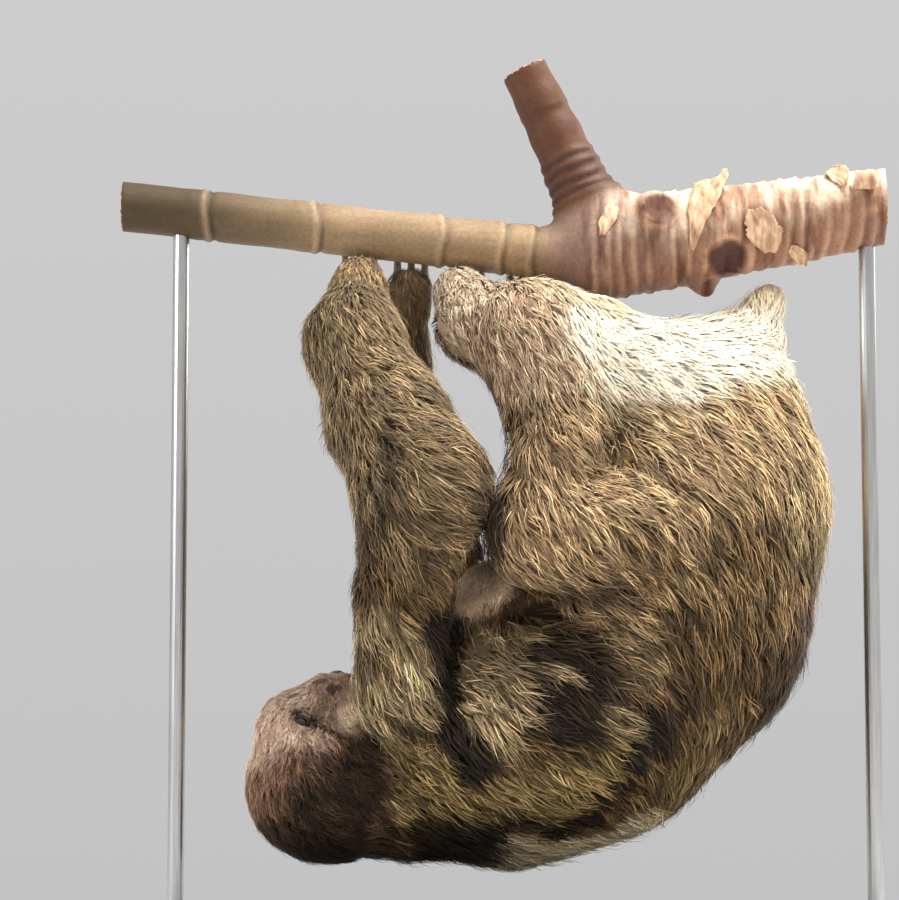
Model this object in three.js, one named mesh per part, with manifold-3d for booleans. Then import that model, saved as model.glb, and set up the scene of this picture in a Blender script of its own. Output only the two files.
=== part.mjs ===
// Three-toed sloth, adult, hanging from a cut length of branch on a display stand.
// Millimetres, +Z up, floor at z = 0, origin at the middle of the underside of the base.
// The animal faces -X with its belly up and to the left; its right side is at -Y.
import * as THREE from 'three';
import Module from 'manifold-3d';

const wasm = await Module();
wasm.setup();

// ---------------------------------------------------------------- driving sizes
const GAP = 0.3;                 // clear gap kept between touching pieces
const BODY_CELL = 10.4;          // facet size of the animal's outline
const CUTTER_CELL = 12.5;        // facet size of the surfaces that part the body
const BODY_FACETS = 3200;        // facets kept on the whole animal before it is parted
const ZONE_FACETS = 90;          // facets kept on each parting surface
const FUR_REACH = 13;            // how far outside its own core a limb's coat belongs to it

const BASE = { length: 540, width: 336, height: 20, corner: 24, bevel: 2 };
const ROD = { radius: 5.5, sides: 20, collarRadius: 13, collarHeight: 9, leftX: -217, rightX: 243 };
const EYE = { radius: 5.6 };
const CLAW = { baseHalfDepth: 4.0, baseHalfWidth: 3.1, steps: 8, sides: 6 };

// ---------------------------------------------------------------- skeleton of the coat's outline
// Each entry is a point on the middle of a limb or of the spine and the radius out to the coat tips.
const J = {
  chestFore: [-29, 0, 134, 71], chestMid: [2, 0, 143, 83], bellyFore: [51, 0, 169, 93],
  bellyHind: [101, 0, 224, 101], loin: [125, 0, 296, 91], rump: [129, 0, 350, 73],
  flank: [17, -42, 169, 48], sternum: [-12, -26, 229, 24],
  neckBase: [-67, -4, 106, 50], neckTop: [-96, -11, 107, 48],
  tailRoot: [160, 0, 399, 29], tailTip: [177, 0, 435, 13],
  rShoulder: [-68, -60, 168, 36], rUpper: [-67, -78, 226, 34], rElbow: [-55, -98, 298, 46], rForearm: [-77, -76, 342, 43],
  rWrist: [-100, -48, 399, 35], rPalm: [-97, -13, 445, 20],
  lShoulder: [-54, 66, 167, 38], lElbow: [-46, 92, 268, 34], lForearm: [-63, 72, 342, 29],
  lWrist: [-74, 46, 404, 25], lPalm: [-64, 12, 444, 18],
  rHip: [97, -52, 275, 57], rThigh: [68, -74, 263, 49], rKnee: [21, -92, 268, 37],
  rShin: [31, -86, 317, 32], rHeel: [21, -60, 397, 42], rFoot: [-19, -36, 413, 30], rToes: [-30, -13, 437, 21],
  rHock: [56, -44, 399, 36], rHaunch: [91, -38, 372, 45],
  lHip: [103, 52, 306, 57], lKnee: [50, 94, 279, 39], lHeel: [52, 74, 370, 29],
  lFoot: [28, 40, 414, 25], lToes: [13, 13, 438, 18],
};
// The head in its own axes: forward from the nape to the nose, dorsal to the crown, side to its right.
const HEAD = { centre: [-120, -18, 111], forward: [0.1, -0.04, 0.99], dorsal: [-0.96, -0.25, 0.09], side: [0.244, -0.959, -0.063] };
function headPoint(forward, dorsal, side) {
  return [0, 1, 2].map((i) => HEAD.centre[i] + forward * HEAD.forward[i] + dorsal * HEAD.dorsal[i] + side * HEAD.side[i]);
}
Object.assign(J, {
  skull: [...headPoint(-1, 0, 0), 49],
  brow: [...headPoint(33, 20, 0), 26],
  muzzle: [...headPoint(52, -4, 0), 21],
  cheek: [...headPoint(31, -13, 0), 28],
});
const FACE = { eyeForward: 36, eyeDorsal: 17, eyeOutward: [0.16, 0.2, 0.95], noseDorsal: -4 };
const BONES = {
  trunk: [['chestFore', 'chestMid'], ['chestMid', 'bellyFore'], ['bellyFore', 'bellyHind'],
    ['bellyHind', 'loin'], ['loin', 'rump'], ['sternum', 'chestMid'], ['flank', 'bellyFore']],
  neck: [['neckBase', 'neckTop']],
  head: [['skull', 'brow'], ['brow', 'muzzle'], ['cheek', 'muzzle'], ['skull', 'cheek']],
  tail: [['tailRoot', 'tailTip']],
  armRight: [['rShoulder', 'rUpper'], ['rUpper', 'rElbow'], ['rElbow', 'rForearm'], ['rForearm', 'rWrist'], ['rWrist', 'rPalm']],
  armLeft: [['lShoulder', 'lElbow'], ['lElbow', 'lForearm'], ['lForearm', 'lWrist'], ['lWrist', 'lPalm']],
  legRight: [['rHip', 'rThigh'], ['rThigh', 'rKnee'], ['rKnee', 'rShin'], ['rShin', 'rHeel'],
    ['rHeel', 'rFoot'], ['rFoot', 'rToes']],
  legLeft: [['lHip', 'lKnee'], ['lKnee', 'lHeel'], ['lHeel', 'lFoot'], ['lFoot', 'lToes']],
  haunch: [['rHock', 'rHaunch'], ['rHaunch', 'rump']],
};
const BLEND = { trunk: 24, neck: 16, head: 16, tail: 12, armRight: 12, armLeft: 12, legRight: 12, legLeft: 12, haunch: 10 };

// ---------------------------------------------------------------- distance fields
function roundCone(x, y, z, a, b) {
  const bx = b[0] - a[0], by = b[1] - a[1], bz = b[2] - a[2];
  const r1 = a[3], r2 = b[3], rr = r1 - r2;
  const l2 = bx * bx + by * by + bz * bz, a2 = l2 - rr * rr, il2 = 1 / l2;
  const px = x - a[0], py = y - a[1], pz = z - a[2];
  if (a2 <= 0) return rr > 0 ? Math.hypot(px, py, pz) - r1 : Math.hypot(x - b[0], y - b[1], z - b[2]) - r2;
  const t = px * bx + py * by + pz * bz, s = t - l2;
  const qx = px * l2 - bx * t, qy = py * l2 - by * t, qz = pz * l2 - bz * t;
  const x2 = qx * qx + qy * qy + qz * qz, y2 = t * t * l2, z2 = s * s * l2;
  const k = Math.sign(rr) * rr * rr * x2;
  if (Math.sign(s) * a2 * z2 > k) return Math.sqrt(x2 + z2) * il2 - r2;
  if (Math.sign(t) * a2 * y2 < k) return Math.sqrt(x2 + y2) * il2 - r1;
  return (Math.sqrt(x2 * a2 * il2) + t * rr) * il2 - r1;
}
function softMin(a, b, k) {
  const h = Math.max(k - Math.abs(a - b), 0) / k;
  return Math.min(a, b) - h * h * k * 0.25;
}
function group(name, x, y, z) {
  let d = Infinity;
  for (const [p, q] of BONES[name]) {
    const e = roundCone(x, y, z, J[p], J[q]);
    d = d === Infinity ? e : softMin(d, e, BLEND[name]);
  }
  return d;
}
const LIMBS = ['armRight', 'armLeft', 'legRight', 'legLeft'];
function bodyField(x, y, z) {
  let torso = softMin(group('trunk', x, y, z), group('neck', x, y, z), 18);
  torso = softMin(torso, group('haunch', x, y, z), 16);
  torso = softMin(torso, group('tail', x, y, z), 22);
  let limbs = Infinity;
  for (const n of LIMBS) limbs = Math.min(limbs, group(n, x, y, z));
  const whole = softMin(torso, limbs, 11);
  return softMin(whole, group('head', x, y, z), 12);
}
// The space that belongs to one named group: nearer to it than to any other, and close to its core.
function zoneField(name, others) {
  return (x, y, z) => {
    const own = group(name, x, y, z);
    let rest = Infinity;
    for (const n of others) rest = Math.min(rest, group(n, x, y, z));
    return Math.max(own - FUR_REACH, own - rest);
  };
}

// ---------------------------------------------------------------- turning a field into a closed surface
const EDGES = [[0, 1], [2, 3], [4, 5], [6, 7], [0, 2], [1, 3], [4, 6], [5, 7], [0, 4], [1, 5], [2, 6], [3, 7]];
const EDGE_OF = {};
EDGES.forEach(([a, b], i) => { EDGE_OF[a * 8 + b] = i; EDGE_OF[b * 8 + a] = i; });
const FACES = [[0, 2, 6, 4], [1, 3, 7, 5], [0, 1, 5, 4], [2, 3, 7, 6], [0, 1, 3, 2], [4, 5, 7, 6]];

function surface(field, lo, hi, cell, rounds = 3) {
  const n = [0, 1, 2].map((i) => Math.ceil((hi[i] - lo[i]) / cell) + 1);
  const at = (i, j, k) => i + n[0] * (j + n[1] * k);
  const f = new Float64Array(n[0] * n[1] * n[2]);
  for (let k = 0; k < n[2]; k++) for (let j = 0; j < n[1]; j++) for (let i = 0; i < n[0]; i++) {
    let v = field(lo[0] + i * cell, lo[1] + j * cell, lo[2] + k * cell);
    if (Math.abs(v) < 1e-6) v = 1e-6;
    f[at(i, j, k)] = v;
  }
  const verts = [], cellVertex = new Map();
  for (let k = 0; k < n[2] - 1; k++) for (let j = 0; j < n[1] - 1; j++) for (let i = 0; i < n[0] - 1; i++) {
    const c = [];
    let mask = 0;
    for (let q = 0; q < 8; q++) {
      const v = f[at(i + (q & 1), j + ((q >> 1) & 1), k + (q >> 2))];
      c.push(v);
      if (v < 0) mask |= 1 << q;
    }
    if (mask === 0 || mask === 255) continue;
    const parent = EDGES.map((_, e) => e);
    const find = (e) => { while (parent[e] !== e) e = parent[e]; return e; };
    for (const face of FACES) {
      const cut = [];
      for (let q = 0; q < 4; q++) {
        const a = face[q], b = face[(q + 1) % 4];
        if ((c[a] < 0) !== (c[b] < 0)) cut.push(EDGE_OF[a * 8 + b]);
      }
      if (cut.length === 2) parent[find(cut[0])] = find(cut[1]);
      else if (cut.length === 4) {
        for (let q = 0; q < 4; q++) {
          if (c[face[q]] >= 0) continue;
          const before = EDGE_OF[face[(q + 3) % 4] * 8 + face[q]], after = EDGE_OF[face[q] * 8 + face[(q + 1) % 4]];
          parent[find(before)] = find(after);
        }
      }
    }
    const sums = new Map();
    EDGES.forEach(([a, b], e) => {
      if ((c[a] < 0) === (c[b] < 0)) return;
      const t = c[a] / (c[a] - c[b]), root = find(e);
      const s = sums.get(root) || [0, 0, 0, 0];
      for (let ax = 0; ax < 3; ax++) {
        const pa = (a >> ax) & 1, pb = (b >> ax) & 1;
        s[ax] += pa + t * (pb - pa);
      }
      s[3]++;
      sums.set(root, s);
    });
    const ids = new Map();
    for (const [root, s] of sums) {
      ids.set(root, verts.length / 3);
      verts.push(lo[0] + (i + s[0] / s[3]) * cell, lo[1] + (j + s[1] / s[3]) * cell, lo[2] + (k + s[2] / s[3]) * cell);
    }
    const perEdge = EDGES.map(([a, b], e) => ((c[a] < 0) !== (c[b] < 0) ? ids.get(find(e)) : -1));
    cellVertex.set(at(i, j, k), perEdge);
  }
  const tris = [];
  const step = [[1, 0, 0], [0, 1, 0], [0, 0, 1]];
  for (let axis = 0; axis < 3; axis++) {
    const u = (axis + 1) % 3, v = (axis + 2) % 3;
    for (let k = 1; k < n[2] - 1; k++) for (let j = 1; j < n[1] - 1; j++) for (let i = 1; i < n[0] - 1; i++) {
      const a = f[at(i, j, k)], b = f[at(i + step[axis][0], j + step[axis][1], k + step[axis][2])];
      if ((a < 0) === (b < 0)) continue;
      const quad = [];
      for (const [du, dv] of [[0, 0], [1, 0], [1, 1], [0, 1]]) {
        const p = [i, j, k];
        p[u] -= du; p[v] -= dv;
        const corner = (du << u) | (dv << v), other = corner | (1 << axis);
        quad.push(cellVertex.get(at(...p))[EDGE_OF[corner * 8 + other]]);
      }
      if (a >= 0) quad.reverse();
      tris.push(quad[0], quad[1], quad[2], quad[0], quad[2], quad[3]);
    }
  }
  const mesh = { verts: Float64Array.from(verts), tris: Uint32Array.from(tris) };
  for (let r = 0; r < rounds; r++) { relax(mesh, 0.45); settle(mesh, field, cell * 0.35); }
  return mesh;
}
function relax(mesh, amount) {
  const { verts, tris } = mesh, sum = new Float64Array(verts.length), count = new Float64Array(verts.length / 3);
  for (let t = 0; t < tris.length; t += 3) for (let q = 0; q < 3; q++) {
    const a = tris[t + q], b = tris[t + (q + 1) % 3];
    for (let ax = 0; ax < 3; ax++) { sum[a * 3 + ax] += verts[b * 3 + ax]; sum[b * 3 + ax] += verts[a * 3 + ax]; }
    count[a]++; count[b]++;
  }
  for (let v = 0; v < count.length; v++) for (let ax = 0; ax < 3; ax++) {
    verts[v * 3 + ax] += amount * (sum[v * 3 + ax] / count[v] - verts[v * 3 + ax]);
  }
}
function settle(mesh, field, limit) {
  const { verts } = mesh, e = 0.5;
  for (let v = 0; v < verts.length; v += 3) for (let pass = 0; pass < 2; pass++) {
    const x = verts[v], y = verts[v + 1], z = verts[v + 2], d = field(x, y, z);
    const g = [(field(x + e, y, z) - field(x - e, y, z)), (field(x, y + e, z) - field(x, y - e, z)),
      (field(x, y, z + e) - field(x, y, z - e))].map((q) => q / (2 * e));
    const g2 = Math.max(g[0] * g[0] + g[1] * g[1] + g[2] * g[2], 0.05);
    let s = -d / g2;
    s = Math.max(-limit, Math.min(limit, s));
    verts[v] += s * g[0]; verts[v + 1] += s * g[1]; verts[v + 2] += s * g[2];
  }
}
function swell(mesh, amount) {
  const { verts, tris } = mesh, nrm = new Float64Array(verts.length);
  for (let t = 0; t < tris.length; t += 3) {
    const [a, b, c] = [tris[t] * 3, tris[t + 1] * 3, tris[t + 2] * 3];
    const ux = verts[b] - verts[a], uy = verts[b + 1] - verts[a + 1], uz = verts[b + 2] - verts[a + 2];
    const vx = verts[c] - verts[a], vy = verts[c + 1] - verts[a + 1], vz = verts[c + 2] - verts[a + 2];
    const w = [uy * vz - uz * vy, uz * vx - ux * vz, ux * vy - uy * vx];
    for (const q of [a, b, c]) for (let ax = 0; ax < 3; ax++) nrm[q + ax] += w[ax];
  }
  const out = Float64Array.from(verts);
  for (let v = 0; v < verts.length; v += 3) {
    const l = Math.hypot(nrm[v], nrm[v + 1], nrm[v + 2]) || 1;
    for (let ax = 0; ax < 3; ax++) out[v + ax] += amount * nrm[v + ax] / l;
  }
  return { verts: out, tris };
}

// Thins a closed surface to about `target` facets by collapsing the edges that change its shape least.
function thin(mesh, target) {
  const P = Float64Array.from(mesh.verts), n = P.length / 3, T = Array.from(mesh.tris);
  const around = Array.from({ length: n }, () => new Set()), Q = Array.from({ length: n }, () => new Float64Array(10));
  const dead = new Uint8Array(T.length / 3), stamp = new Int32Array(n);
  const facet = (t, sub, by) => {
    const c = [0, 1, 2].map((q) => { const v = T[t * 3 + q]; return v === sub ? by : [P[v * 3], P[v * 3 + 1], P[v * 3 + 2]]; });
    const [a, b, d] = c;
    const u = [b[0] - a[0], b[1] - a[1], b[2] - a[2]], w = [d[0] - a[0], d[1] - a[1], d[2] - a[2]];
    return [u[1] * w[2] - u[2] * w[1], u[2] * w[0] - u[0] * w[2], u[0] * w[1] - u[1] * w[0], a];
  };
  for (let t = 0; t < T.length / 3; t++) {
    const [x, y, z, a] = facet(t, -1, null), l = Math.hypot(x, y, z) || 1;
    const m = [x / l, y / l, z / l], d = -(m[0] * a[0] + m[1] * a[1] + m[2] * a[2]);
    const k = [m[0] * m[0], m[0] * m[1], m[0] * m[2], m[0] * d, m[1] * m[1], m[1] * m[2], m[1] * d, m[2] * m[2], m[2] * d, d * d];
    for (let q = 0; q < 3; q++) { const v = T[t * 3 + q]; around[v].add(t); for (let i = 0; i < 10; i++) Q[v][i] += k[i] * l * 0.5; }
  }
  const cost = (k, x, y, z) => k[0] * x * x + 2 * k[1] * x * y + 2 * k[2] * x * z + 2 * k[3] * x + k[4] * y * y + 2 * k[5] * y * z
    + 2 * k[6] * y + k[7] * z * z + 2 * k[8] * z + k[9];
  const heap = [];
  const push = (e) => {
    let i = heap.push(e) - 1;
    while (i) { const p = (i - 1) >> 1; if (heap[p].c <= e.c) break; heap[i] = heap[p]; i = p; }
    heap[i] = e;
  };
  const pop = () => {
    const top = heap[0], last = heap.pop();
    if (heap.length) {
      let i = 0;
      for (;;) {
        let q = 2 * i + 1;
        if (q >= heap.length) break;
        if (q + 1 < heap.length && heap[q + 1].c < heap[q].c) q++;
        if (heap[q].c >= last.c) break;
        heap[i] = heap[q]; i = q;
      }
      heap[i] = last;
    }
    return top;
  };
  const offer = (u, v) => {
    const k = Q[u].map((x, i) => x + Q[v][i]);
    const det = k[0] * (k[4] * k[7] - k[5] * k[5]) - k[1] * (k[1] * k[7] - k[5] * k[2]) + k[2] * (k[1] * k[5] - k[4] * k[2]);
    const mid = [0, 1, 2].map((i) => (P[u * 3 + i] + P[v * 3 + i]) / 2);
    const span = Math.hypot(P[u * 3] - P[v * 3], P[u * 3 + 1] - P[v * 3 + 1], P[u * 3 + 2] - P[v * 3 + 2]);
    let best = mid;
    if (Math.abs(det) > 1e-3) {
      const b = [-k[3], -k[6], -k[8]];
      const s = [
        (b[0] * (k[4] * k[7] - k[5] * k[5]) - k[1] * (b[1] * k[7] - k[5] * b[2]) + k[2] * (b[1] * k[5] - k[4] * b[2])) / det,
        (k[0] * (b[1] * k[7] - k[5] * b[2]) - b[0] * (k[1] * k[7] - k[5] * k[2]) + k[2] * (k[1] * b[2] - b[1] * k[2])) / det,
        (k[0] * (k[4] * b[2] - b[1] * k[5]) - k[1] * (k[1] * b[2] - b[1] * k[2]) + b[0] * (k[1] * k[5] - k[4] * k[2])) / det];
      if (Math.hypot(s[0] - mid[0], s[1] - mid[1], s[2] - mid[2]) < span) best = s;
    }
    push({ c: cost(k, ...best) + span * span * 1e-3, u, v, p: best, su: stamp[u], sv: stamp[v] });
  };
  const ring = (v) => { const s = new Set(); for (const t of around[v]) for (let q = 0; q < 3; q++) s.add(T[t * 3 + q]); s.delete(v); return s; };
  for (let v = 0; v < n; v++) for (const w of ring(v)) if (w > v) offer(v, w);
  let live = T.length / 3;
  while (live > target && heap.length) {
    const { u, v, p, su, sv } = pop();
    if (stamp[u] !== su || stamp[v] !== sv) continue;
    const ru = ring(u), rv = ring(v);
    let shared = 0;
    for (const w of ru) if (rv.has(w)) shared++;
    if (shared !== 2) continue;
    let ok = true;
    for (const [a, b] of [[u, v], [v, u]]) for (const t of around[a]) {
      if (around[b].has(t)) continue;
      const f = facet(t, -1, null), g = facet(t, a, p), lf = Math.hypot(f[0], f[1], f[2]), lg = Math.hypot(g[0], g[1], g[2]);
      if (lg < 1e-3 || (f[0] * g[0] + f[1] * g[1] + f[2] * g[2]) < 0.35 * lf * lg) { ok = false; break; }
    }
    if (!ok) continue;
    for (const t of [...around[v]]) {
      if (around[u].has(t)) {
        dead[t] = 1; live--;
        for (let q = 0; q < 3; q++) around[T[t * 3 + q]].delete(t);
      } else {
        for (let q = 0; q < 3; q++) if (T[t * 3 + q] === v) T[t * 3 + q] = u;
        around[u].add(t);
      }
    }
    P.set(p, u * 3);
    for (let i = 0; i < 10; i++) Q[u][i] += Q[v][i];
    stamp[u]++; stamp[v] = -1; around[v].clear();
    for (const w of ring(u)) offer(u, w);
  }
  const index = new Map(), verts = [], tris = [];
  for (let t = 0; t < T.length / 3; t++) if (!dead[t]) for (let q = 0; q < 3; q++) {
    const v = T[t * 3 + q];
    if (!index.has(v)) { index.set(v, verts.length / 3); verts.push(P[v * 3], P[v * 3 + 1], P[v * 3 + 2]); }
    tris.push(index.get(v));
  }
  return { verts: Float64Array.from(verts), tris: Uint32Array.from(tris) };
}

// ---------------------------------------------------------------- solids
function solid(mesh) {
  return new wasm.Manifold(new wasm.Mesh({ numProp: 3, vertProperties: Float32Array.from(mesh.verts), triVerts: Uint32Array.from(mesh.tris) }));
}
function plain(body) {
  const m = body.getMesh();
  return { verts: Float64Array.from(m.vertProperties), tris: Uint32Array.from(m.triVerts) };
}
// Keeps the largest connected piece of a solid, so that no sliver is left by a cut.
function largest(body) {
  const { verts, tris } = plain(body), parent = new Int32Array(verts.length / 3).map((_, i) => i);
  const find = (v) => { while (parent[v] !== v) { parent[v] = parent[parent[v]]; v = parent[v]; } return v; };
  for (let t = 0; t < tris.length; t += 3) { parent[find(tris[t])] = find(tris[t + 1]); parent[find(tris[t + 1])] = find(tris[t + 2]); }
  const volume = new Map();
  for (let t = 0; t < tris.length; t += 3) {
    const [a, b, c] = [0, 1, 2].map((q) => new THREE.Vector3().fromArray(verts, tris[t + q] * 3));
    const root = find(tris[t]);
    volume.set(root, (volume.get(root) || 0) + a.dot(b.cross(c)) / 6);
  }
  const best = [...volume].sort((p, q) => q[1] - p[1])[0][0];
  const keep = [];
  for (let t = 0; t < tris.length; t += 3) if (find(tris[t]) === best) keep.push(tris[t], tris[t + 1], tris[t + 2]);
  const index = new Map(), out = [];
  const renumbered = keep.map((v) => {
    if (!index.has(v)) { index.set(v, out.length / 3); out.push(verts[v * 3], verts[v * 3 + 1], verts[v * 3 + 2]); }
    return index.get(v);
  });
  return solid({ verts: Float64Array.from(out), tris: Uint32Array.from(renumbered) });
}
function fromGeometry(geometry) {
  const g = geometry.index ? geometry.toNonIndexed() : geometry;
  const p = g.attributes.position.array, index = new Map(), verts = [], tris = [];
  for (let i = 0; i < p.length; i += 3) {
    const key = [p[i], p[i + 1], p[i + 2]].map((q) => Math.round(q * 1e4)).join();
    if (!index.has(key)) { index.set(key, verts.length / 3); verts.push(p[i], p[i + 1], p[i + 2]); }
    tris.push(index.get(key));
  }
  const keep = [];
  for (let t = 0; t < tris.length; t += 3) {
    const [a, b, c] = tris.slice(t, t + 3);
    if (a !== b && b !== c && a !== c) keep.push(a, b, c);
  }
  return { verts: Float64Array.from(verts), tris: Uint32Array.from(keep) };
}
// A half space as a large block whose face passes through `point` and whose outward normal is `normal`.
function halfSpace(point, normal, inset = 0) {
  const size = 1200, n = new THREE.Vector3(...normal).normalize();
  const g = new THREE.BoxGeometry(size, size, size);
  const m = new THREE.Matrix4().makeRotationFromQuaternion(new THREE.Quaternion().setFromUnitVectors(new THREE.Vector3(0, 0, 1), n));
  const centre = new THREE.Vector3(...point).addScaledVector(n, -size / 2 + inset);
  m.setPosition(centre);
  g.applyMatrix4(m);
  return solid(fromGeometry(g));
}
// Parts a body at a plane into the piece behind the plane and the piece beyond it, a gap apart.
function part(body, point, normal) {
  return [largest(body.intersect(halfSpace(point, normal, -GAP / 2))), largest(body.subtract(halfSpace(point, normal, GAP / 2)))];
}
// A round bar through points with a radius at each: [x, y, z, r], or [x, y, z, r, r2] for an oval section.
function bar(points, sides, pointed = false) {
  const verts = [], tris = [], rings = points.length;
  const at = points.map((p) => new THREE.Vector3(p[0], p[1], p[2]));
  let side = null;
  for (let i = 0; i < rings; i++) {
    const dir = at[Math.min(i + 1, rings - 1)].clone().sub(at[Math.max(i - 1, 0)]).normalize();
    if (!side) side = Math.abs(dir.y) < 0.9 ? new THREE.Vector3(0, 1, 0) : new THREE.Vector3(1, 0, 0);
    side = side.clone().addScaledVector(dir, -side.dot(dir)).normalize();
    const up = dir.clone().cross(side);
    const r = points[i][3], r2 = points[i][4] ?? r;
    if (pointed && i === rings - 1) { verts.push(at[i].x, at[i].y, at[i].z); break; }
    for (let s = 0; s < sides; s++) {
      const a = (2 * Math.PI * s) / sides;
      const v = at[i].clone().addScaledVector(side, Math.cos(a) * r2).addScaledVector(up, Math.sin(a) * r);
      verts.push(v.x, v.y, v.z);
    }
  }
  const last = rings - 1;
  for (let i = 0; i < (pointed ? last - 1 : last); i++) for (let s = 0; s < sides; s++) {
    const a = i * sides + s, b = i * sides + (s + 1) % sides, c = a + sides, d = b + sides;
    tris.push(a, b, d, a, d, c);
  }
  if (pointed) {
    const tip = last * sides;
    for (let s = 0; s < sides; s++) tris.push((last - 1) * sides + s, (last - 1) * sides + (s + 1) % sides, tip);
  }
  const cap = (ring, flip) => {
    const centre = verts.length / 3;
    const c = at[ring];
    verts.push(c.x, c.y, c.z);
    for (let s = 0; s < sides; s++) {
      const a = ring * sides + s, b = ring * sides + (s + 1) % sides;
      tris.push(...(flip ? [centre, b, a] : [centre, a, b]));
    }
  };
  cap(0, true);
  if (!pointed) cap(last, false);
  return { verts: Float64Array.from(verts), tris: Uint32Array.from(tris) };
}

// ---------------------------------------------------------------- branch
// Main length from its thin young end at -X to its thick end at +X, with a ring scar at each old leaf.
const BRANCH_LINE = [[-257, 0, 498.5, 16.8], [-104, 0, 481.5, 16.8], [37, 0, 465.5, 17.6], [68, 0, 470, 35], [98, 0, 473.5, 33], [172, 0, 485, 29.6], [255, 0, 498, 25.5]];
const RING_SCARS = [-200, -127, -43, -3, 17, 196];
function branchAt(x) {
  let i = 0;
  while (i < BRANCH_LINE.length - 2 && x > BRANCH_LINE[i + 1][0]) i++;
  const a = BRANCH_LINE[i], b = BRANCH_LINE[i + 1], t = (x - a[0]) / (b[0] - a[0]);
  const ease = t * t * (3 - 2 * t);
  const knuckle = i === 2 ? ease : t;
  return [x, 0, a[2] + (b[2] - a[2]) * t, a[3] + (b[3] - a[3]) * knuckle];
}
function branchSolid() {
  const rings = [];
  for (let x = -257; x <= 255.01; x += 25.6) {
    const p = branchAt(x);
    for (const s of RING_SCARS) p[3] += 1.6 * Math.exp(-(((x - s) / 7) ** 2));
    p[3] += 0.5 * Math.sin(x * 0.11) + 0.4 * Math.sin(x * 0.043 + 1);
    rings.push(p);
  }
  const stub = [[66, 0, 474, 26], [57, 0, 498, 22], [46, 0, 522, 18.5], [34.5, 0, 547.5, 17], [24, 0, 570, 16], [13.5, 0, 592, 15.8]];
  const knot = [[96, -14, 482, 20], [99, -27, 489, 13.5], [100, -31, 490, 9]];
  const spur = [[128, 10, 470, 16], [134, 12, 449, 8], [136, 12, 444, 5]];
  let wood = solid(bar(rings, 12));
  for (const piece of [stub, knot, spur]) wood = wood.add(solid(bar(piece, 10)));
  return wood;
}

// ---------------------------------------------------------------- claws
// A claw is a horn that leaves the palm under the branch, runs up the far side of it and hooks over the top.
// x: where along the branch; lean: how far it drifts along the branch to its tip; start: where round the branch
// it leaves the palm, in degrees, -90 straight below; grow: extra thickness.
function claw(x, lean, start, grow = 0) {
  const points = [];
  for (let i = 0; i <= CLAW.steps; i++) {
    const t = i / CLAW.steps;
    const angle = (start + (54 - start) * t) * Math.PI / 180;
    const here = branchAt(x + lean * t);
    const thick = CLAW.baseHalfDepth * (1 - t) ** 0.7;
    const radius = here[3] + 3.0 + Math.max(thick, 0.5) + 2.2 * (1 - t) ** 3;
    const width = CLAW.baseHalfWidth * (1 - t) ** 0.6;
    points.push([here[0], Math.cos(angle) * radius, here[2] + Math.sin(angle) * radius,
      i === CLAW.steps ? 0 : Math.max(thick, 0.7) + grow, i === CLAW.steps ? 0 : Math.max(width, 0.6) + grow]);
  }
  if (grow) {
    const [a, b] = points, l = Math.hypot(a[0] - b[0], a[1] - b[1], a[2] - b[2]);
    for (let ax = 0; ax < 3; ax++) a[ax] += (a[ax] - b[ax]) / l * grow;
  }
  return solid(bar(points, CLAW.sides, true));
}
const CLAW_SETS = {
  hand_right: { x: -97, spread: 9.5, lean: -1.5, start: -112 },
  hand_left: { x: -63, spread: 9, lean: 0.5, start: -74 },
  foot_right: { x: -25, spread: 9.5, lean: -0.5, start: -112 },
  foot_left: { x: 13, spread: 9, lean: 0, start: -74 },
};
const DIGITS = ['claw_1', 'claw_2', 'claw_3'];

// ---------------------------------------------------------------- build
const branch = branchSolid();
const branchClear = (() => {
  const m = plain(branch);
  return solid(swell(m, GAP));
})();

const lo = [-212, -184, 18], hi = [252, 172, 500];
let animal = solid(thin(surface(bodyField, lo, hi, BODY_CELL), BODY_FACETS)).subtract(branchClear);

const claws = {};
for (const [limb, set] of Object.entries(CLAW_SETS)) DIGITS.forEach((digit, i) => {
  const x = set.x + (i - 1) * set.spread, lean = set.lean + (i - 1);
  claws[`${limb}_${digit}`] = claw(x, lean, set.start);
  animal = animal.subtract(claw(x, lean, set.start, GAP));
});

const ORDER = ['legRight', 'legLeft', 'armRight', 'armLeft', 'tail', 'head', 'neck'];
const ALL = ['trunk', 'haunch', 'neck', 'head', 'tail', ...LIMBS];
const piece = {};
for (const name of ORDER) {
  const zone = thin(surface(zoneField(name, ALL.filter((n) => n !== name)), lo, hi, CUTTER_CELL, 1), ZONE_FACETS);
  piece[name] = largest(animal.intersect(solid(zone)));
  animal = animal.subtract(solid(swell(zone, GAP)));
}
piece.trunk = largest(animal);

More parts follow.
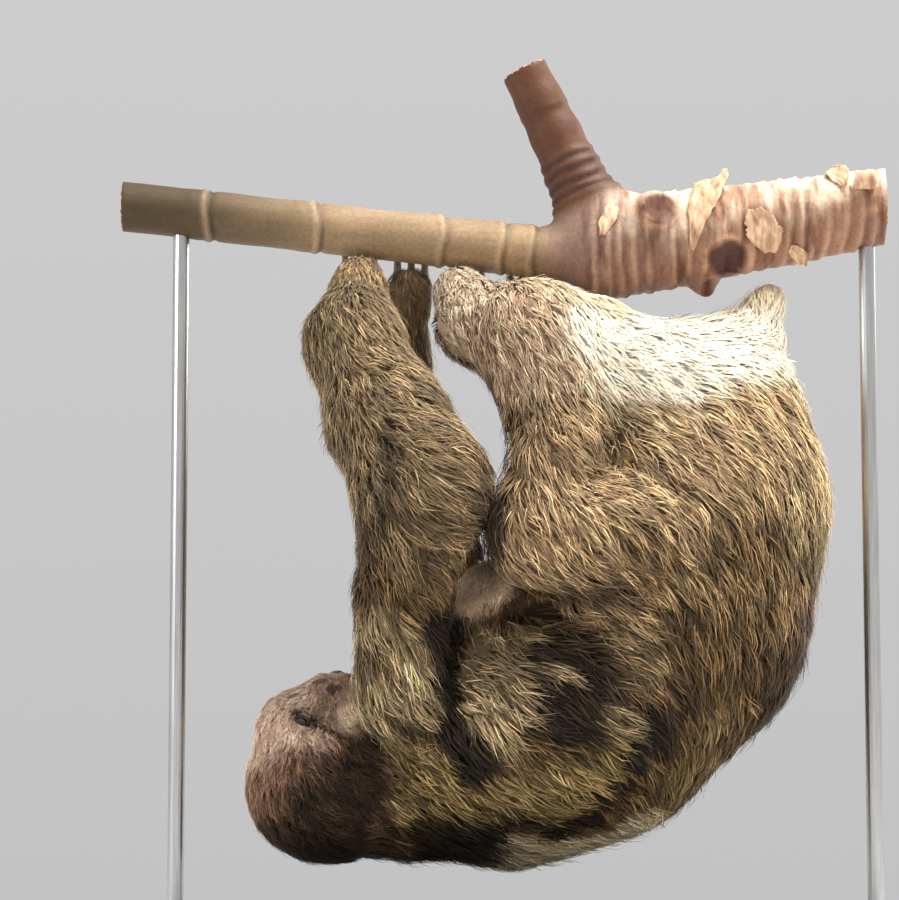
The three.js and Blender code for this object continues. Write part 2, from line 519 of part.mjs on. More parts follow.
function between(a, b, t) {
  const p = J[a], q = J[b];
  return [[0, 1, 2].map((i) => p[i] + (q[i] - p[i]) * t), [0, 1, 2].map((i) => q[i] - p[i])];
}
function split(body, a, b, t) {
  const [point, normal] = between(a, b, t);
  return part(body, point, normal);
}
const out = {};
[out.trunk_chest, piece.rest] = split(piece.trunk, 'chestMid', 'bellyFore', 0.45);
[out.trunk_belly, out.trunk_hips] = split(piece.rest, 'bellyHind', 'loin', 0.5);
out.tail = piece.tail;
out.neck = piece.neck;
[out.arm_right_upper, piece.rest] = split(piece.armRight, 'rUpper', 'rElbow', 0.8);
[out.arm_right_fore, out.hand_right] = split(piece.rest, 'rWrist', 'rPalm', 0.25);
[out.arm_left_upper, piece.rest] = split(piece.armLeft, 'lShoulder', 'lElbow', 0.92);
[out.arm_left_fore, out.hand_left] = split(piece.rest, 'lWrist', 'lPalm', 0.25);
[out.leg_right_thigh, piece.rest] = part(piece.legRight, J.rKnee.slice(0, 3), [-0.25, 0, 1]);
[out.leg_right_shank, out.foot_right] = part(piece.rest, J.rHeel.slice(0, 3), [-0.5, 0.3, 0.8]);
[out.leg_left_thigh, piece.rest] = part(piece.legLeft, J.lKnee.slice(0, 3), [-0.1, 0, 1]);
[out.leg_left_shank, out.foot_left] = part(piece.rest, J.lHeel.slice(0, 3), [-0.5, -0.3, 0.8]);

// Eyes and nose pad, seated in the head.
function ball(centre, radii, sides = 10) {
  const g = new THREE.SphereGeometry(1, sides, Math.round(sides * 0.6));
  g.scale(...radii);
  g.translate(...centre);
  return solid(fromGeometry(g));
}
// Walks out of the head from `start` along `dir` (head axes) to where the coat is `depth` away.
function seat(start, dir, depth) {
  const l = Math.hypot(...dir);
  for (let t = 5; t < 60; t += 0.25) {
    const p = headPoint(...start.map((q, i) => q + dir[i] / l * t));
    if (bodyField(...p) > -depth) return p;
  }
  throw new Error('no seat');
}
const [ef, ed, es] = FACE.eyeOutward;
const SMALL = {
  eye_right: { centre: seat([FACE.eyeForward, FACE.eyeDorsal, 0], [ef, ed, es], 3.8), radii: [EYE.radius, EYE.radius, EYE.radius] },
  eye_left: { centre: seat([FACE.eyeForward, FACE.eyeDorsal, 0], [ef, ed, -es], 3.8), radii: [EYE.radius, EYE.radius, EYE.radius] },
  nose: { centre: seat([45, FACE.noseDorsal, 0], [1, 0.04, 0], 3.2), radii: [6, 8.5, 5] },
};
let head = piece.head;
for (const [name, { centre, radii }] of Object.entries(SMALL)) {
  out[name] = ball(centre, radii);
  head = head.subtract(ball(centre, radii.map((r) => r + GAP)));
}
out.head = largest(head);
Object.assign(out, claws);
out.perch_branch = branch;

// Display stand: a flat base with softened edges and two upright rods with collars.
function baseSolid() {
  const { length: l, width: w, height: h, corner: c, bevel: b } = BASE;
  const s = new THREE.Shape(), x = l / 2 - b, y = w / 2 - b, r = c - b;
  s.moveTo(-x + r, -y);
  s.lineTo(x - r, -y); s.absarc(x - r, -y + r, r, -Math.PI / 2, 0, false);
  s.lineTo(x, y - r); s.absarc(x - r, y - r, r, 0, Math.PI / 2, false);
  s.lineTo(-x + r, y); s.absarc(-x + r, y - r, r, Math.PI / 2, Math.PI, false);
  s.lineTo(-x, -y + r); s.absarc(-x + r, -y + r, r, Math.PI, Math.PI * 1.5, false);
  const g = new THREE.ExtrudeGeometry(s, { depth: h - 2 * b, bevelEnabled: true, bevelThickness: b, bevelSize: b, bevelSegments: 1, curveSegments: 5 });
  g.translate(0, 0, b);
  return solid(fromGeometry(g));
}
function rodSolid(x) {
  const top = branchAt(x)[2];
  const shaft = new THREE.CylinderGeometry(ROD.radius, ROD.radius, top - BASE.height - GAP, ROD.sides);
  shaft.rotateX(Math.PI / 2); shaft.translate(x, 0, (top + BASE.height + GAP) / 2);
  const collar = new THREE.CylinderGeometry(ROD.collarRadius - 3, ROD.collarRadius, ROD.collarHeight, ROD.sides);
  collar.rotateX(Math.PI / 2); collar.translate(x, 0, BASE.height + GAP + ROD.collarHeight / 2);
  return largest(solid(fromGeometry(shaft)).add(solid(fromGeometry(collar))).subtract(branchClear));
}
out.stand_base = baseSolid();
out.stand_rod_left = rodSolid(ROD.leftX);
out.stand_rod_right = rodSolid(ROD.rightX);

// ---------------------------------------------------------------- scene graph
const COLOURS = {
  coat: 0x9a8468, head: 0x5e4636, eye: 0x17110d, nose: 0x1d1613, claw: 0x6d5a3d, branch: 0x8b6a55, stand: 0x33312f, rod: 0x6f7275,
};
function looks(name) {
  if (name.startsWith('stand_rod')) return [COLOURS.rod, 0.35, 0.9];
  if (name.startsWith('stand')) return [COLOURS.stand, 0.6, 0.0];
  if (name.startsWith('perch')) return [COLOURS.branch, 0.85, 0.0];
  if (name.includes('claw')) return [COLOURS.claw, 0.4, 0.0];
  if (name.startsWith('eye')) return [COLOURS.eye, 0.1, 0.0];
  if (name === 'nose') return [COLOURS.nose, 0.5, 0.0];
  if (name === 'head') return [COLOURS.head, 0.95, 0.0];
  return [COLOURS.coat, 0.95, 0.0];
}
const sloth = new THREE.Group();
for (const [name, body] of Object.entries(out)) {
  const { verts, tris } = plain(body);
  const g = new THREE.BufferGeometry();
  g.setAttribute('position', new THREE.BufferAttribute(Float32Array.from(verts), 3));
  g.setIndex(new THREE.BufferAttribute(tris, 1));
  g.computeVertexNormals();
  const [color, roughness, metalness] = looks(name);
  const mesh = new THREE.Mesh(g, new THREE.MeshStandardMaterial({ color, roughness, metalness }));
  mesh.name = name;
  sloth.add(mesh);
}
export default sloth;
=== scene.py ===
"""A life-size three-toed sloth hanging curled under a cut length of branch, on a plain display stand."""

import math

import bmesh
import bpy
import numpy as np
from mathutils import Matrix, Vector
from mathutils.kdtree import KDTree


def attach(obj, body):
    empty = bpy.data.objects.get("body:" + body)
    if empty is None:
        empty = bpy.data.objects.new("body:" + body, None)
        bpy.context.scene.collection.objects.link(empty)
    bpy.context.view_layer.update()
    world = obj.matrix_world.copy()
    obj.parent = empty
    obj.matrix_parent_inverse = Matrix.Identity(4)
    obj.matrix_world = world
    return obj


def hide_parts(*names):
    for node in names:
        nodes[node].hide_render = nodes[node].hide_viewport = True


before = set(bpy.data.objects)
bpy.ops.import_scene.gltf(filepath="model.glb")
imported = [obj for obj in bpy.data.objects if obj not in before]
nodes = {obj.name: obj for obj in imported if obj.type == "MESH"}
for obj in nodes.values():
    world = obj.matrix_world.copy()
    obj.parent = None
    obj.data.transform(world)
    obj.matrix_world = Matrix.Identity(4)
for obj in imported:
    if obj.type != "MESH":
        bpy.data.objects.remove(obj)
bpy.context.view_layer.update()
rng = np.random.default_rng(20261)
MM = 0.001


# ------------------------------------------------------------ camera
def place_camera():
    data = bpy.data.cameras.new("camera")
    data.sensor_fit = "VERTICAL"
    data.sensor_height = 24.0
    data.lens = 96.0
    data.clip_start = 0.05
    data.clip_end = 60.0
    cam = bpy.data.objects.new("camera", data)
    bpy.context.scene.collection.objects.link(cam)
    cam.location = (-0.0370, -2.38211, 0.0410)
    cam.rotation_euler = (math.radians(97.0), 0.0, 0.0)
    bpy.context.scene.camera = cam


place_camera()


# ------------------------------------------------------------ small helpers
def srgb(r, g, b):
    c = np.array([r, g, b]) / 255.0
    return np.where(c <= 0.04045, c / 12.92, ((c + 0.055) / 1.055) ** 2.4)


def unit(v):
    return v / np.maximum(np.linalg.norm(v, axis=-1, keepdims=True), 1e-9)


def step(a, b, x):
    t = np.clip((x - a) / (b - a), 0, 1)
    return t * t * (3 - 2 * t)


def lattice(i, j, k, seed):
    h = (i * 73856093) ^ (j * 19349663) ^ (k * 83492791) ^ (seed * 97531)
    h = (h ^ (h >> 13)) * 1274126177
    h = (h ^ (h >> 16)) & 0xFFFF
    return h / 32767.5 - 1.0


def noise(P, size, seed=0):
    """Smooth value noise from -1 to 1 with cells of the given size in millimetres."""
    Q = np.asarray(P, float) / size
    I = np.floor(Q).astype(np.int64)
    F = Q - I
    F = F * F * (3 - 2 * F)
    out = 0.0
    for c in range(8):
        a, b, d = c & 1, (c >> 1) & 1, c >> 2
        w = (F[:, 0] if a else 1 - F[:, 0]) * (F[:, 1] if b else 1 - F[:, 1]) * (F[:, 2] if d else 1 - F[:, 2])
        out = out + w * lattice(I[:, 0] + a, I[:, 1] + b, I[:, 2] + d, seed)
    return out


def turn(v, axis, angle):
    """Turns vectors about unit axes that are square to them."""
    return v * np.cos(angle)[:, None] + np.cross(axis, v) * np.sin(angle)[:, None]


# ------------------------------------------------------------ the body, in millimetres, out to the tips of the coat
HC = np.array([-120.0, -18.0, 111.0])
HEAD_AXES = np.array([[0.1, -0.04, 0.99], [-0.96, -0.25, 0.09], [0.244, -0.959, -0.063]])


def head_point(f, d, s):
    return tuple(HC + np.array([f, d, s]) @ HEAD_AXES)


def head_coords(P):
    return (P - HC) @ HEAD_AXES.T


J = dict(
    chestFore=(-29, 0, 134, 71), chestMid=(2, 0, 143, 83), bellyFore=(51, 0, 169, 93),
    bellyHind=(101, 0, 224, 101), loin=(125, 0, 296, 91), rump=(129, 0, 350, 73),
    flank=(17, -42, 169, 48), sternum=(-12, -26, 229, 24),
    neckBase=(-67, -4, 106, 50), neckTop=(-96, -11, 107, 48),
    tailRoot=(160, 0, 399, 29), tailTip=(177, 0, 435, 13),
    rShoulder=(-68, -60, 168, 36), rUpper=(-67, -78, 226, 34), rElbow=(-55, -98, 298, 46),
    rForearm=(-77, -76, 342, 43), rWrist=(-100, -48, 399, 35), rPalm=(-97, -13, 445, 20),
    lShoulder=(-54, 66, 167, 38), lElbow=(-46, 92, 268, 34), lForearm=(-63, 72, 342, 29),
    lWrist=(-74, 46, 404, 25), lPalm=(-64, 12, 444, 18),
    rHip=(97, -52, 275, 57), rThigh=(68, -74, 263, 49), rKnee=(21, -92, 268, 37),
    rShin=(31, -86, 317, 32), rHeel=(21, -60, 397, 42), rFoot=(-19, -36, 413, 30), rToes=(-30, -13, 437, 21),
    rHock=(56, -44, 399, 36), rHaunch=(91, -38, 372, 45),
    lHip=(103, 52, 306, 57), lKnee=(50, 94, 279, 39), lHeel=(52, 74, 370, 29),
    lFoot=(28, 40, 414, 25), lToes=(13, 13, 438, 18),
    skull=head_point(-1, 0, 0) + (49,), brow=head_point(33, 20, 0) + (26,),
    muzzle=head_point(52, -4, 0) + (21,), cheek=head_point(31, -13, 0) + (28,))
BONES = dict(
    trunk=[("chestFore", "chestMid"), ("chestMid", "bellyFore"), ("bellyFore", "bellyHind"), ("bellyHind", "loin"),
           ("loin", "rump"), ("sternum", "chestMid"), ("flank", "bellyFore")],
    neck=[("neckBase", "neckTop")],
    head=[("skull", "brow"), ("brow", "muzzle"), ("cheek", "muzzle"), ("skull", "cheek")],
    tail=[("tailRoot", "tailTip")],
    armRight=[("rShoulder", "rUpper"), ("rUpper", "rElbow"), ("rElbow", "rForearm"), ("rForearm", "rWrist"), ("rWrist", "rPalm")],
    armLeft=[("lShoulder", "lElbow"), ("lElbow", "lForearm"), ("lForearm", "lWrist"), ("lWrist", "lPalm")],
    legRight=[("rHip", "rThigh"), ("rThigh", "rKnee"), ("rKnee", "rShin"), ("rShin", "rHeel"), ("rHeel", "rFoot"), ("rFoot", "rToes")],
    legLeft=[("lHip", "lKnee"), ("lKnee", "lHeel"), ("lHeel", "lFoot"), ("lFoot", "lToes")],
    haunch=[("rHock", "rHaunch"), ("rHaunch", "rump")])
BLEND = dict(trunk=24, neck=16, head=16, tail=12, armRight=12, armLeft=12, legRight=12, legLeft=12, haunch=10)
LIMBS = ["armRight", "armLeft", "legRight", "legLeft"]
GROUPS = list(BONES)


def round_cone(P, a, b):
    a, b = np.asarray(a, P.dtype), np.asarray(b, P.dtype)
    ba = b[:3] - a[:3]
    l2 = float(ba @ ba)
    rr = float(a[3] - b[3])
    a2 = l2 - rr * rr
    if a2 <= 0:
        c = a if rr > 0 else b
        return np.sqrt(((P - c[:3]) ** 2).sum(-1)) - c[3]
    pa = P - a[:3]
    pp = (pa * pa).sum(-1)
    y = pa @ ba
    z = y - l2
    x2 = np.maximum(l2 * (l2 * pp - y * y), 0)
    y2, z2 = y * y * l2, z * z * l2
    k = np.sign(rr) * rr * rr * x2
    d = (np.sqrt(x2 * (a2 / l2)) + y * rr) / l2 - a[3]
    d = np.where(np.sign(y) * a2 * y2 < k, np.sqrt(x2 + y2) / l2 - a[3], d)
    return np.where(np.sign(z) * a2 * z2 > k, np.sqrt(x2 + z2) / l2 - b[3], d)


def soft_min(a, b, k):
    h = np.maximum(k - np.abs(a - b), 0) / k
    return np.minimum(a, b) - h * h * (k * 0.25)


def group_field(name, P):
    d = None
    for p, q in BONES[name]:
        e = round_cone(P, J[p], J[q])
        d = e if d is None else soft_min(d, e, BLEND[name])
    return d


def head_and_rest(P):
    t = soft_min(group_field("trunk", P), group_field("neck", P), 18)
    t = soft_min(t, group_field("haunch", P), 16)
    t = soft_min(t, group_field("tail", P), 22)
    limbs = None
    for n in LIMBS:
        g = group_field(n, P)
        limbs = g if limbs is None else np.minimum(limbs, g)
    # the fold between the shank and the haunch is filled by the coat
    fold = np.exp(-((P - np.array([72, -82, 345], P.dtype)) ** 2).sum(-1) / P.dtype.type(42.0 ** 2))
    return group_field("head", P), soft_min(t, limbs, 11 + 30 * fold)


def body_field(P):
    head, rest = head_and_rest(P)
    return soft_min(rest, head, 12)


def slope(f, P, e=0.4):
    """The field's value and gradient at each point."""
    g = np.empty_like(P)
    for i in range(3):
        d = np.zeros(3, P.dtype)
        d[i] = e
        g[:, i] = (f(P + d) - f(P - d)) / (2 * e)
    return g


# ------------------------------------------------------------ coat by body part
NAMED = dict(
    cream=srgb(242, 230, 206), buff=srgb(216, 192, 154), tan=srgb(182, 152, 113), hay=srgb(168, 144, 104), straw=srgb(156, 134, 100), olive=srgb(130, 109, 70), milk_and_highlight=srgb(251, 237, 212),
    fawn=srgb(154, 127, 94), shank=srgb(186, 157, 128), white=srgb(250, 223, 188), greybrown=srgb(132, 111, 81), umber=srgb(98, 76, 47), brown=srgb(82, 63, 41),
    chocolate=srgb(46, 35, 25), soot=srgb(27, 19, 13), rufous=srgb(138, 103, 80), pink=srgb(224, 188, 156),
    mask=srgb(220, 184, 160), paleface=srgb(214, 188, 156), foot=srgb(204, 178, 150), wool=srgb(150, 124, 100),
    mauve=srgb(122, 94, 80))
# joint: depth of coat, length, width, tufts in each square centimetre, stand, colour
COAT = dict(
    chestFore=(14, 27, 1.7, 15, 0.9, "umber"), chestMid=(15, 28, 1.7, 14, 0.9, "umber"), bellyFore=(16, 30, 1.8, 13, 0.9, "umber"),
    bellyHind=(16, 30, 1.8, 13, 0.9, "umber"), loin=(15, 30, 1.8, 13, 0.85, "greybrown"), rump=(14, 29, 1.8, 13, 0.8, "buff"),
    flank=(14, 28, 1.7, 15, 0.95, "umber"), sternum=(4.5, 11, 0.9, 40, 0.6, "pink"),
    neckBase=(15, 27, 1.6, 17, 0.9, "brown"), neckTop=(13, 24, 1.5, 19, 0.9, "chocolate"),
    tailRoot=(10, 22, 1.5, 18, 0.8, "white"), tailTip=(5, 14, 1.1, 34, 0.8, "white"),
    rShoulder=(13, 27, 1.7, 16, 0.95, "straw"), rUpper=(13, 26, 1.6, 16, 0.95, "umber"), rElbow=(12, 26, 1.6, 17, 0.95, "greybrown"),
    rForearm=(12, 23, 1.5, 18, 0.9, "greybrown"), rWrist=(9, 19, 1.3, 22, 0.8, "greybrown"), rPalm=(4.5, 11, 1.0, 38, 0.7, "fawn"),
    lShoulder=(13, 27, 1.7, 14, 0.95, "straw"), lElbow=(11, 25, 1.6, 16, 0.95, "fawn"),
    lForearm=(9, 22, 1.5, 18, 0.9, "greybrown"), lWrist=(8, 18, 1.3, 22, 0.8, "greybrown"), lPalm=(4.5, 11, 1.0, 36, 0.7, "fawn"),
    rHip=(14, 30, 1.8, 13, 0.9, "tan"), rThigh=(14, 29, 1.7, 14, 0.95, "fawn"), rKnee=(12, 26, 1.6, 16, 0.95, "fawn"),
    rShin=(11, 24, 1.5, 18, 0.9, "fawn"), rHeel=(8, 19, 1.35, 22, 0.85, "shank"), rFoot=(7, 16, 1.2, 26, 0.75, "foot"),
    rToes=(4.5, 11, 1.0, 38, 0.7, "foot"), rHock=(9, 22, 1.5, 19, 0.8, "cream"), rHaunch=(12, 27, 1.7, 15, 0.8, "cream"),
    lHip=(14, 30, 1.8, 12, 0.9, "tan"), lKnee=(12, 26, 1.6, 15, 0.95, "fawn"), lHeel=(9, 20, 1.4, 20, 0.85, "fawn"),
    lFoot=(7, 16, 1.2, 25, 0.75, "foot"), lToes=(4.5, 11, 1.0, 36, 0.7, "foot"),
    skull=(8.5, 13, 0.95, 44, 0.95, "rufous"), brow=(4.8, 9, 0.72, 78, 0.85, "mask"),
    muzzle=(2.6, 6, 0.55, 110, 0.8, "mask"), cheek=(5.5, 10, 0.75, 70, 0.9, "mask"))
COAT_TABLE = np.array([list(COAT[n][:5]) + list(NAMED[COAT[n][5]]) for n in COAT])
COAT_TABLE[:, 0] *= np.where(COAT_TABLE[:, 0] > 7, 0.80, 1.0)
COAT_BALLS = np.array([J[n] for n in COAT], float)
# the bare-looking bump between the arm and the thigh
BUMP = np.array([-12.0, -32.0, 233.0])
BUMP_ROW = np.array([2.6, 6.5, 0.55, 85, 0.7, *NAMED["pink"]])


def bump_weight(P):
    return step(31, 24, np.sqrt(((P - BUMP.astype(P.dtype)) ** 2).sum(-1)))


HEAD_BALLS = [list(COAT).index(n) for n in ("skull", "brow", "muzzle", "cheek")]


def coat_blend(P, columns, only=None):
    B, T = COAT_BALLS.astype(P.dtype), COAT_TABLE.astype(P.dtype)[:, columns]
    num = np.zeros((len(P), T.shape[1]), P.dtype)
    den = np.zeros(len(P), P.dtype)
    for i in (range(len(B)) if only is None else only):
        d2 = ((P - B[i, :3]) ** 2).sum(-1) / (B[i, 3] * B[i, 3])
        w = 1.0 / (d2 + 0.08) ** 4
        num += w[:, None] * T[i]
        den += w
    return num / den[:, None]


def coat_mix(P, columns, head, rest):
    """The coat of the nearest body parts; the head keeps its own short coat."""
    out = coat_blend(P, columns)
    on_head = step(8, -3, head - rest)[:, None]
    near = on_head[:, 0] > 0
    if near.any():
        own = coat_blend(P[near], columns, HEAD_BALLS)
        out[near] += (own - out[near]) * on_head[near]
    # elbow and knee lie close together, with a thinner coat between them
    between = np.exp(-((P - np.array([-17, -92, 284], P.dtype)) ** 2).sum(-1) / P.dtype.type(30.0 ** 2))
    out[:, 0] = np.maximum(out[:, 0] - 7.0 * between, np.minimum(out[:, 0], 2.4))
    return out + (BUMP_ROW.astype(P.dtype)[columns] - out) * bump_weight(P)[:, None]


def coat_here(P):
    """Coat depth, length, width, density, stand and base colour at each point."""
    head, rest = head_and_rest(P)
    return coat_mix(P, slice(None), head, rest)


def coat_depth(P):
    head, rest = head_and_rest(P)
    return coat_mix(P, slice(0, 1), head, rest)[:, 0]


EYE_LINE = np.array([(40.0, 22, 30), (38.5, 16, 35), (34.5, 9, 40), (29, -1, 44)])
EYE_R = 5.6
EYES = {"eye_right": np.array([-131.12, -51.47, 151.52]), "eye_left": np.array([-144.43, 0.85, 154.95])}
NOSE_C = np.array([-110.24, -20.1, 180.3])
FACE_HEAD, EYE_AXES = {}, {}
SLIT = (0.80, 0.30)
for _name, _c in EYES.items():
    _h = head_coords(_c[None])[0]
    _side = 1.0 if _name == "eye_right" else -1.0
    _g = unit(np.array([0.50, 0.22, 0.84 * _side]))
    FACE_HEAD[_name] = (_h - 3.2 * _g + np.array([-1.2, 0.9, 0.0]), _g)
    _u = np.array([0.22, 0.82, -0.52 * _side])  # towards the corner by the nose
    _u = unit(_u - _g * (_u @ _g))
    _v = np.cross(_g, _u)
    EYE_AXES[_name] = (_u, _v if _v[0] > 0 else -_v)


def slit_measure(H, name):
    """Below 1 inside the opening between the lids, and the distance from the middle of the eye."""
    c, g = FACE_HEAD[name]
    u, v = EYE_AXES[name]
    q = H - c
    d = np.linalg.norm(q, axis=1)
    m = ((np.abs(q @ u) / (EYE_R * SLIT[0])) ** 1.7 + (np.abs(q @ v) / (EYE_R * SLIT[1])) ** 1.7) ** (1 / 1.7)
    return np.where(q @ g > 0, m, 9.0), d


MOUTH = [(68.0, -15.5, 0.0), (66.0, -16.5, 5.5), (61.0, -16.5, 11.5), (54.5, -14.0, 16.5), (48.0, -9.0, 20.5)]


def line_distance(Q, points):
    """Distance from each point to a run of straight stretches, and how far along it is, 0 to 1."""
    best, along = np.full(len(Q), 1e9), np.zeros(len(Q))
    n = len(points) - 1
    for i in range(n):
        a, b = np.array(points[i], float), np.array(points[i + 1], float)
        t = np.clip(((Q - a) @ (b - a)) / ((b - a) @ (b - a)), 0, 1)
        d = np.linalg.norm(Q - a - t[:, None] * (b - a), axis=1)
        near = d < best
        best = np.where(near, d, best)
        along = np.where(near, (i + t) / n, along)
    return best, along


def mouth_distance(P):
    H = head_coords(P)
    H = np.stack([H[:, 0], H[:, 1], np.abs(H[:, 2])], 1)
    H[:, 1] *= 1.0
    return line_distance(H, MOUTH)[0]


def face_weight(P):
    H = head_coords(P)
    return step(14, 26, H[:, 0]) * step(62, 50, np.abs(H[:, 2])) * step(66, 52, np.abs(H[:, 1]))


def skin_field(P):
    head, rest = head_and_rest(P)
    return soft_min(rest, head, 12) + coat_mix(P, slice(0, 1), head, rest)[:, 0]


def face_field(P):
    """The skin with its eye mounds, brow, muzzle pad, mouth line and cheek folds."""
    f = skin_field(P)
    H = head_coords(P)
    w = face_weight(P)
    g = f.copy()
    for name, (c, gaze) in FACE_HEAD.items():
        m, d = slit_measure(H, name)
        g = soft_min(g, d - (EYE_R + 1.1), 5.0)
        g = g + 2.4 * step(1.6, 1.05, m) * step(11, 8, d)
        # brow ridge over each eye, and a shallow hollow in front of it
        side = 1.0 if name == "eye_right" else -1.0
        d, _ = line_distance(H, [(c[0] + 6, c[1] + 8.0, c[2] - 7 * side), (c[0] - 1, c[1] + 8.5, c[2] - 1 * side), (c[0] - 9, c[1] + 4.5, c[2] + 3 * side)])
        g = g - 1.5 * np.exp(-(d / 4.2) ** 2)
        d, _ = line_distance(H, [(c[0] + 8, c[1] - 3, c[2] - 6 * side), (c[0] + 2, c[1] - 9, c[2] + 0.5 * side), (c[0] - 8, c[1] - 8, c[2] + 5 * side)])
        g = g + 0.9 * np.exp(-(d / 2.6) ** 2)
    d = mouth_distance(P)
    g = g + 1.5 * np.exp(-(d / 1.15) ** 2) - 0.55 * np.exp(-((d - 3.2) / 2.0) ** 2)
    # muzzle pads either side of the nose, chin, and bridge
    S = np.abs(H[:, 2])
    pad = np.sqrt(((H[:, 0] - 66) / 9) ** 2 + ((H[:, 1] + 8.0) / 7) ** 2 + ((S - 9.5) / 7) ** 2)
    g = g - 1.6 * np.exp(-pad ** 2)
    bridge = np.sqrt(((H[:, 1] - 15) / 10) ** 2 + (S / 5) ** 2)
    g = g - 0.9 * np.exp(-bridge ** 2)
    fold, _ = line_distance(np.stack([H[:, 0], H[:, 1], S], 1), [(68, 2, 8.5), (62, 1, 15), (53, -2, 21)])
    g = g + 0.6 * np.exp(-(fold / 1.8) ** 2)
    return f + (g - f) * w


BRANCH_LINE = [(-257, 498.5, 16.8), (-104, 481.5, 16.8), (37, 465.5, 17.6), (68, 470, 35), (98, 473.5, 33), (172, 485, 29.6), (255, 498, 25.5)]


def branch_at(x):
    """Height of the branch's middle, and its radius, at each x."""
    x = np.asarray(x, float)
    t = np.zeros_like(x)
    i = np.clip(np.searchsorted([p[0] for p in BRANCH_LINE], x) - 1, 0, len(BRANCH_LINE) - 2)
    A = np.array(BRANCH_LINE)
    a, b = A[i], A[i + 1]
    t = (x - a[..., 0]) / (b[..., 0] - a[..., 0])
    ease = np.where(i == 2, t * t * (3 - 2 * t), t)
    return a[..., 1] + (b[..., 1] - a[..., 1]) * t, a[..., 2] + (b[..., 2] - a[..., 2]) * ease


def branch_gap(P):
    """Distance outside the branch, roughly."""
    z, r = branch_at(P[:, 0])
    return np.hypot(P[:, 1], P[:, 2] - z) - r


# ------------------------------------------------------------ skin
def marched_surface(field, lo, cells, cell, reach_in, reach_out, rough_field=None):
    """Closed quad mesh of the zero of a field; only blocks near the surface are worked out in full."""
    step4 = 4
    shape = [c * step4 for c in cells]
    ax = [lo[i] + cell * (step4 * np.arange(cells[i]) + (step4 - 1) / 2) for i in range(3)]
    C = np.stack(np.meshgrid(*ax, indexing="ij"), -1).reshape(-1, 3).astype(np.float32)
    coarse = (rough_field or body_field)(C).reshape(cells)
    near = (coarse > reach_in) & (coarse < reach_out)
    full = np.repeat(np.repeat(np.repeat(near, step4, 0), step4, 1), step4, 2)
    F = np.where(np.repeat(np.repeat(np.repeat(coarse, step4, 0), step4, 1), step4, 2) < -8, -5.0, 5.0).astype(np.float32)
    I = np.stack(np.nonzero(full), 1)
    P = (np.array(lo) + cell * I).astype(np.float32)
    out = np.empty(len(P), np.float32)
    for s in range(0, len(P), 200000):
        out[s:s + 200000] = field(P[s:s + 200000])
    F[full] = out
    S = (F < 0).astype(np.int8)
    total = sum(S[a:S.shape[0] - 1 + a, b:S.shape[1] - 1 + b, c:S.shape[2] - 1 + c] for a in (0, 1) for b in (0, 1) for c in (0, 1))
    active = (total > 0) & (total < 8)
    idx = np.full(active.shape, -1, np.int64)
    A = np.stack(np.nonzero(active), 1)
    idx[active] = np.arange(len(A))
    pos, cnt = np.zeros((len(A), 3)), np.zeros(len(A))
    corners = [(a, b, c) for a in (0, 1) for b in (0, 1) for c in (0, 1)]
    for p in corners:
        for axis in range(3):
            if p[axis]:
                continue
            q = list(p)
            q[axis] = 1
            fa = F[A[:, 0] + p[0], A[:, 1] + p[1], A[:, 2] + p[2]]
            fb = F[A[:, 0] + q[0], A[:, 1] + q[1], A[:, 2] + q[2]]
            cross = (fa < 0) != (fb < 0)
            t = fa / np.where(cross, fa - fb, 1)
            e = np.array(p, float)[None] + t[:, None] * (np.array(q) - np.array(p))[None]
            pos += np.where(cross[:, None], e, 0)
            cnt += cross
    V = np.array(lo) + cell * (A + pos / cnt[:, None])
    quads = []
    for axis in range(3):
        u, v = [(1, 2), (2, 0), (0, 1)][axis]
        sl0 = [slice(1, -1)] * 3
        sl1 = [slice(1, -1)] * 3
        sl0[axis], sl1[axis] = slice(0, -1), slice(1, None)
        a, b = S[tuple(sl0)], S[tuple(sl1)]
        e = np.stack(np.nonzero(a != b), 1)
        inside = a[e[:, 0], e[:, 1], e[:, 2]] == 1
        base = e.copy()
        for k in range(3):
            if k != axis:
                base[:, k] += 1
        c = []
        for du, dv in ((-1, -1), (0, -1), (0, 0), (-1, 0)):
            o = base.copy()
            o[:, u] += du
            o[:, v] += dv
            c.append(idx[o[:, 0], o[:, 1], o[:, 2]])
        c = np.stack(c, 1)
        c = np.where(inside[:, None], c, c[:, ::-1])
        quads.append(c)
    return V, np.concatenate(quads)


def settle(field, V, rounds=2, limit=1.5):
    for _ in range(rounds):
        f = field(V)
        g = slope(field, V)
        g2 = np.maximum((g * g).sum(-1), 0.15)
        V = V - g * np.clip(f / g2, -limit, limit)[:, None]
    return V


def make_mesh(name, V, faces, smooth=True, mm=True):
    """A mesh object from vertices in millimetres and an array or list of faces."""
    me = bpy.data.meshes.new(name)
    V = np.asarray(V, np.float64) * (MM if mm else 1.0)
    if isinstance(faces, np.ndarray):
        n, k = faces.shape
        me.vertices.add(len(V))
        me.vertices.foreach_set("co", V.astype(np.float32).ravel())
        me.loops.add(n * k)
        me.loops.foreach_set("vertex_index", faces.astype(np.int32).ravel())
        me.polygons.add(n)
        me.polygons.foreach_set("loop_start", np.arange(0, n * k, k, dtype=np.int32))
        me.update(calc_edges=True)
    else:
        me.from_pydata([tuple(v) for v in V], [], [tuple(f) for f in faces])
        me.update()
    me.polygons.foreach_set("use_smooth", np.full(len(me.polygons), smooth))
    ob = bpy.data.objects.new(name, me)
    bpy.context.scene.collection.objects.link(ob)
    return ob


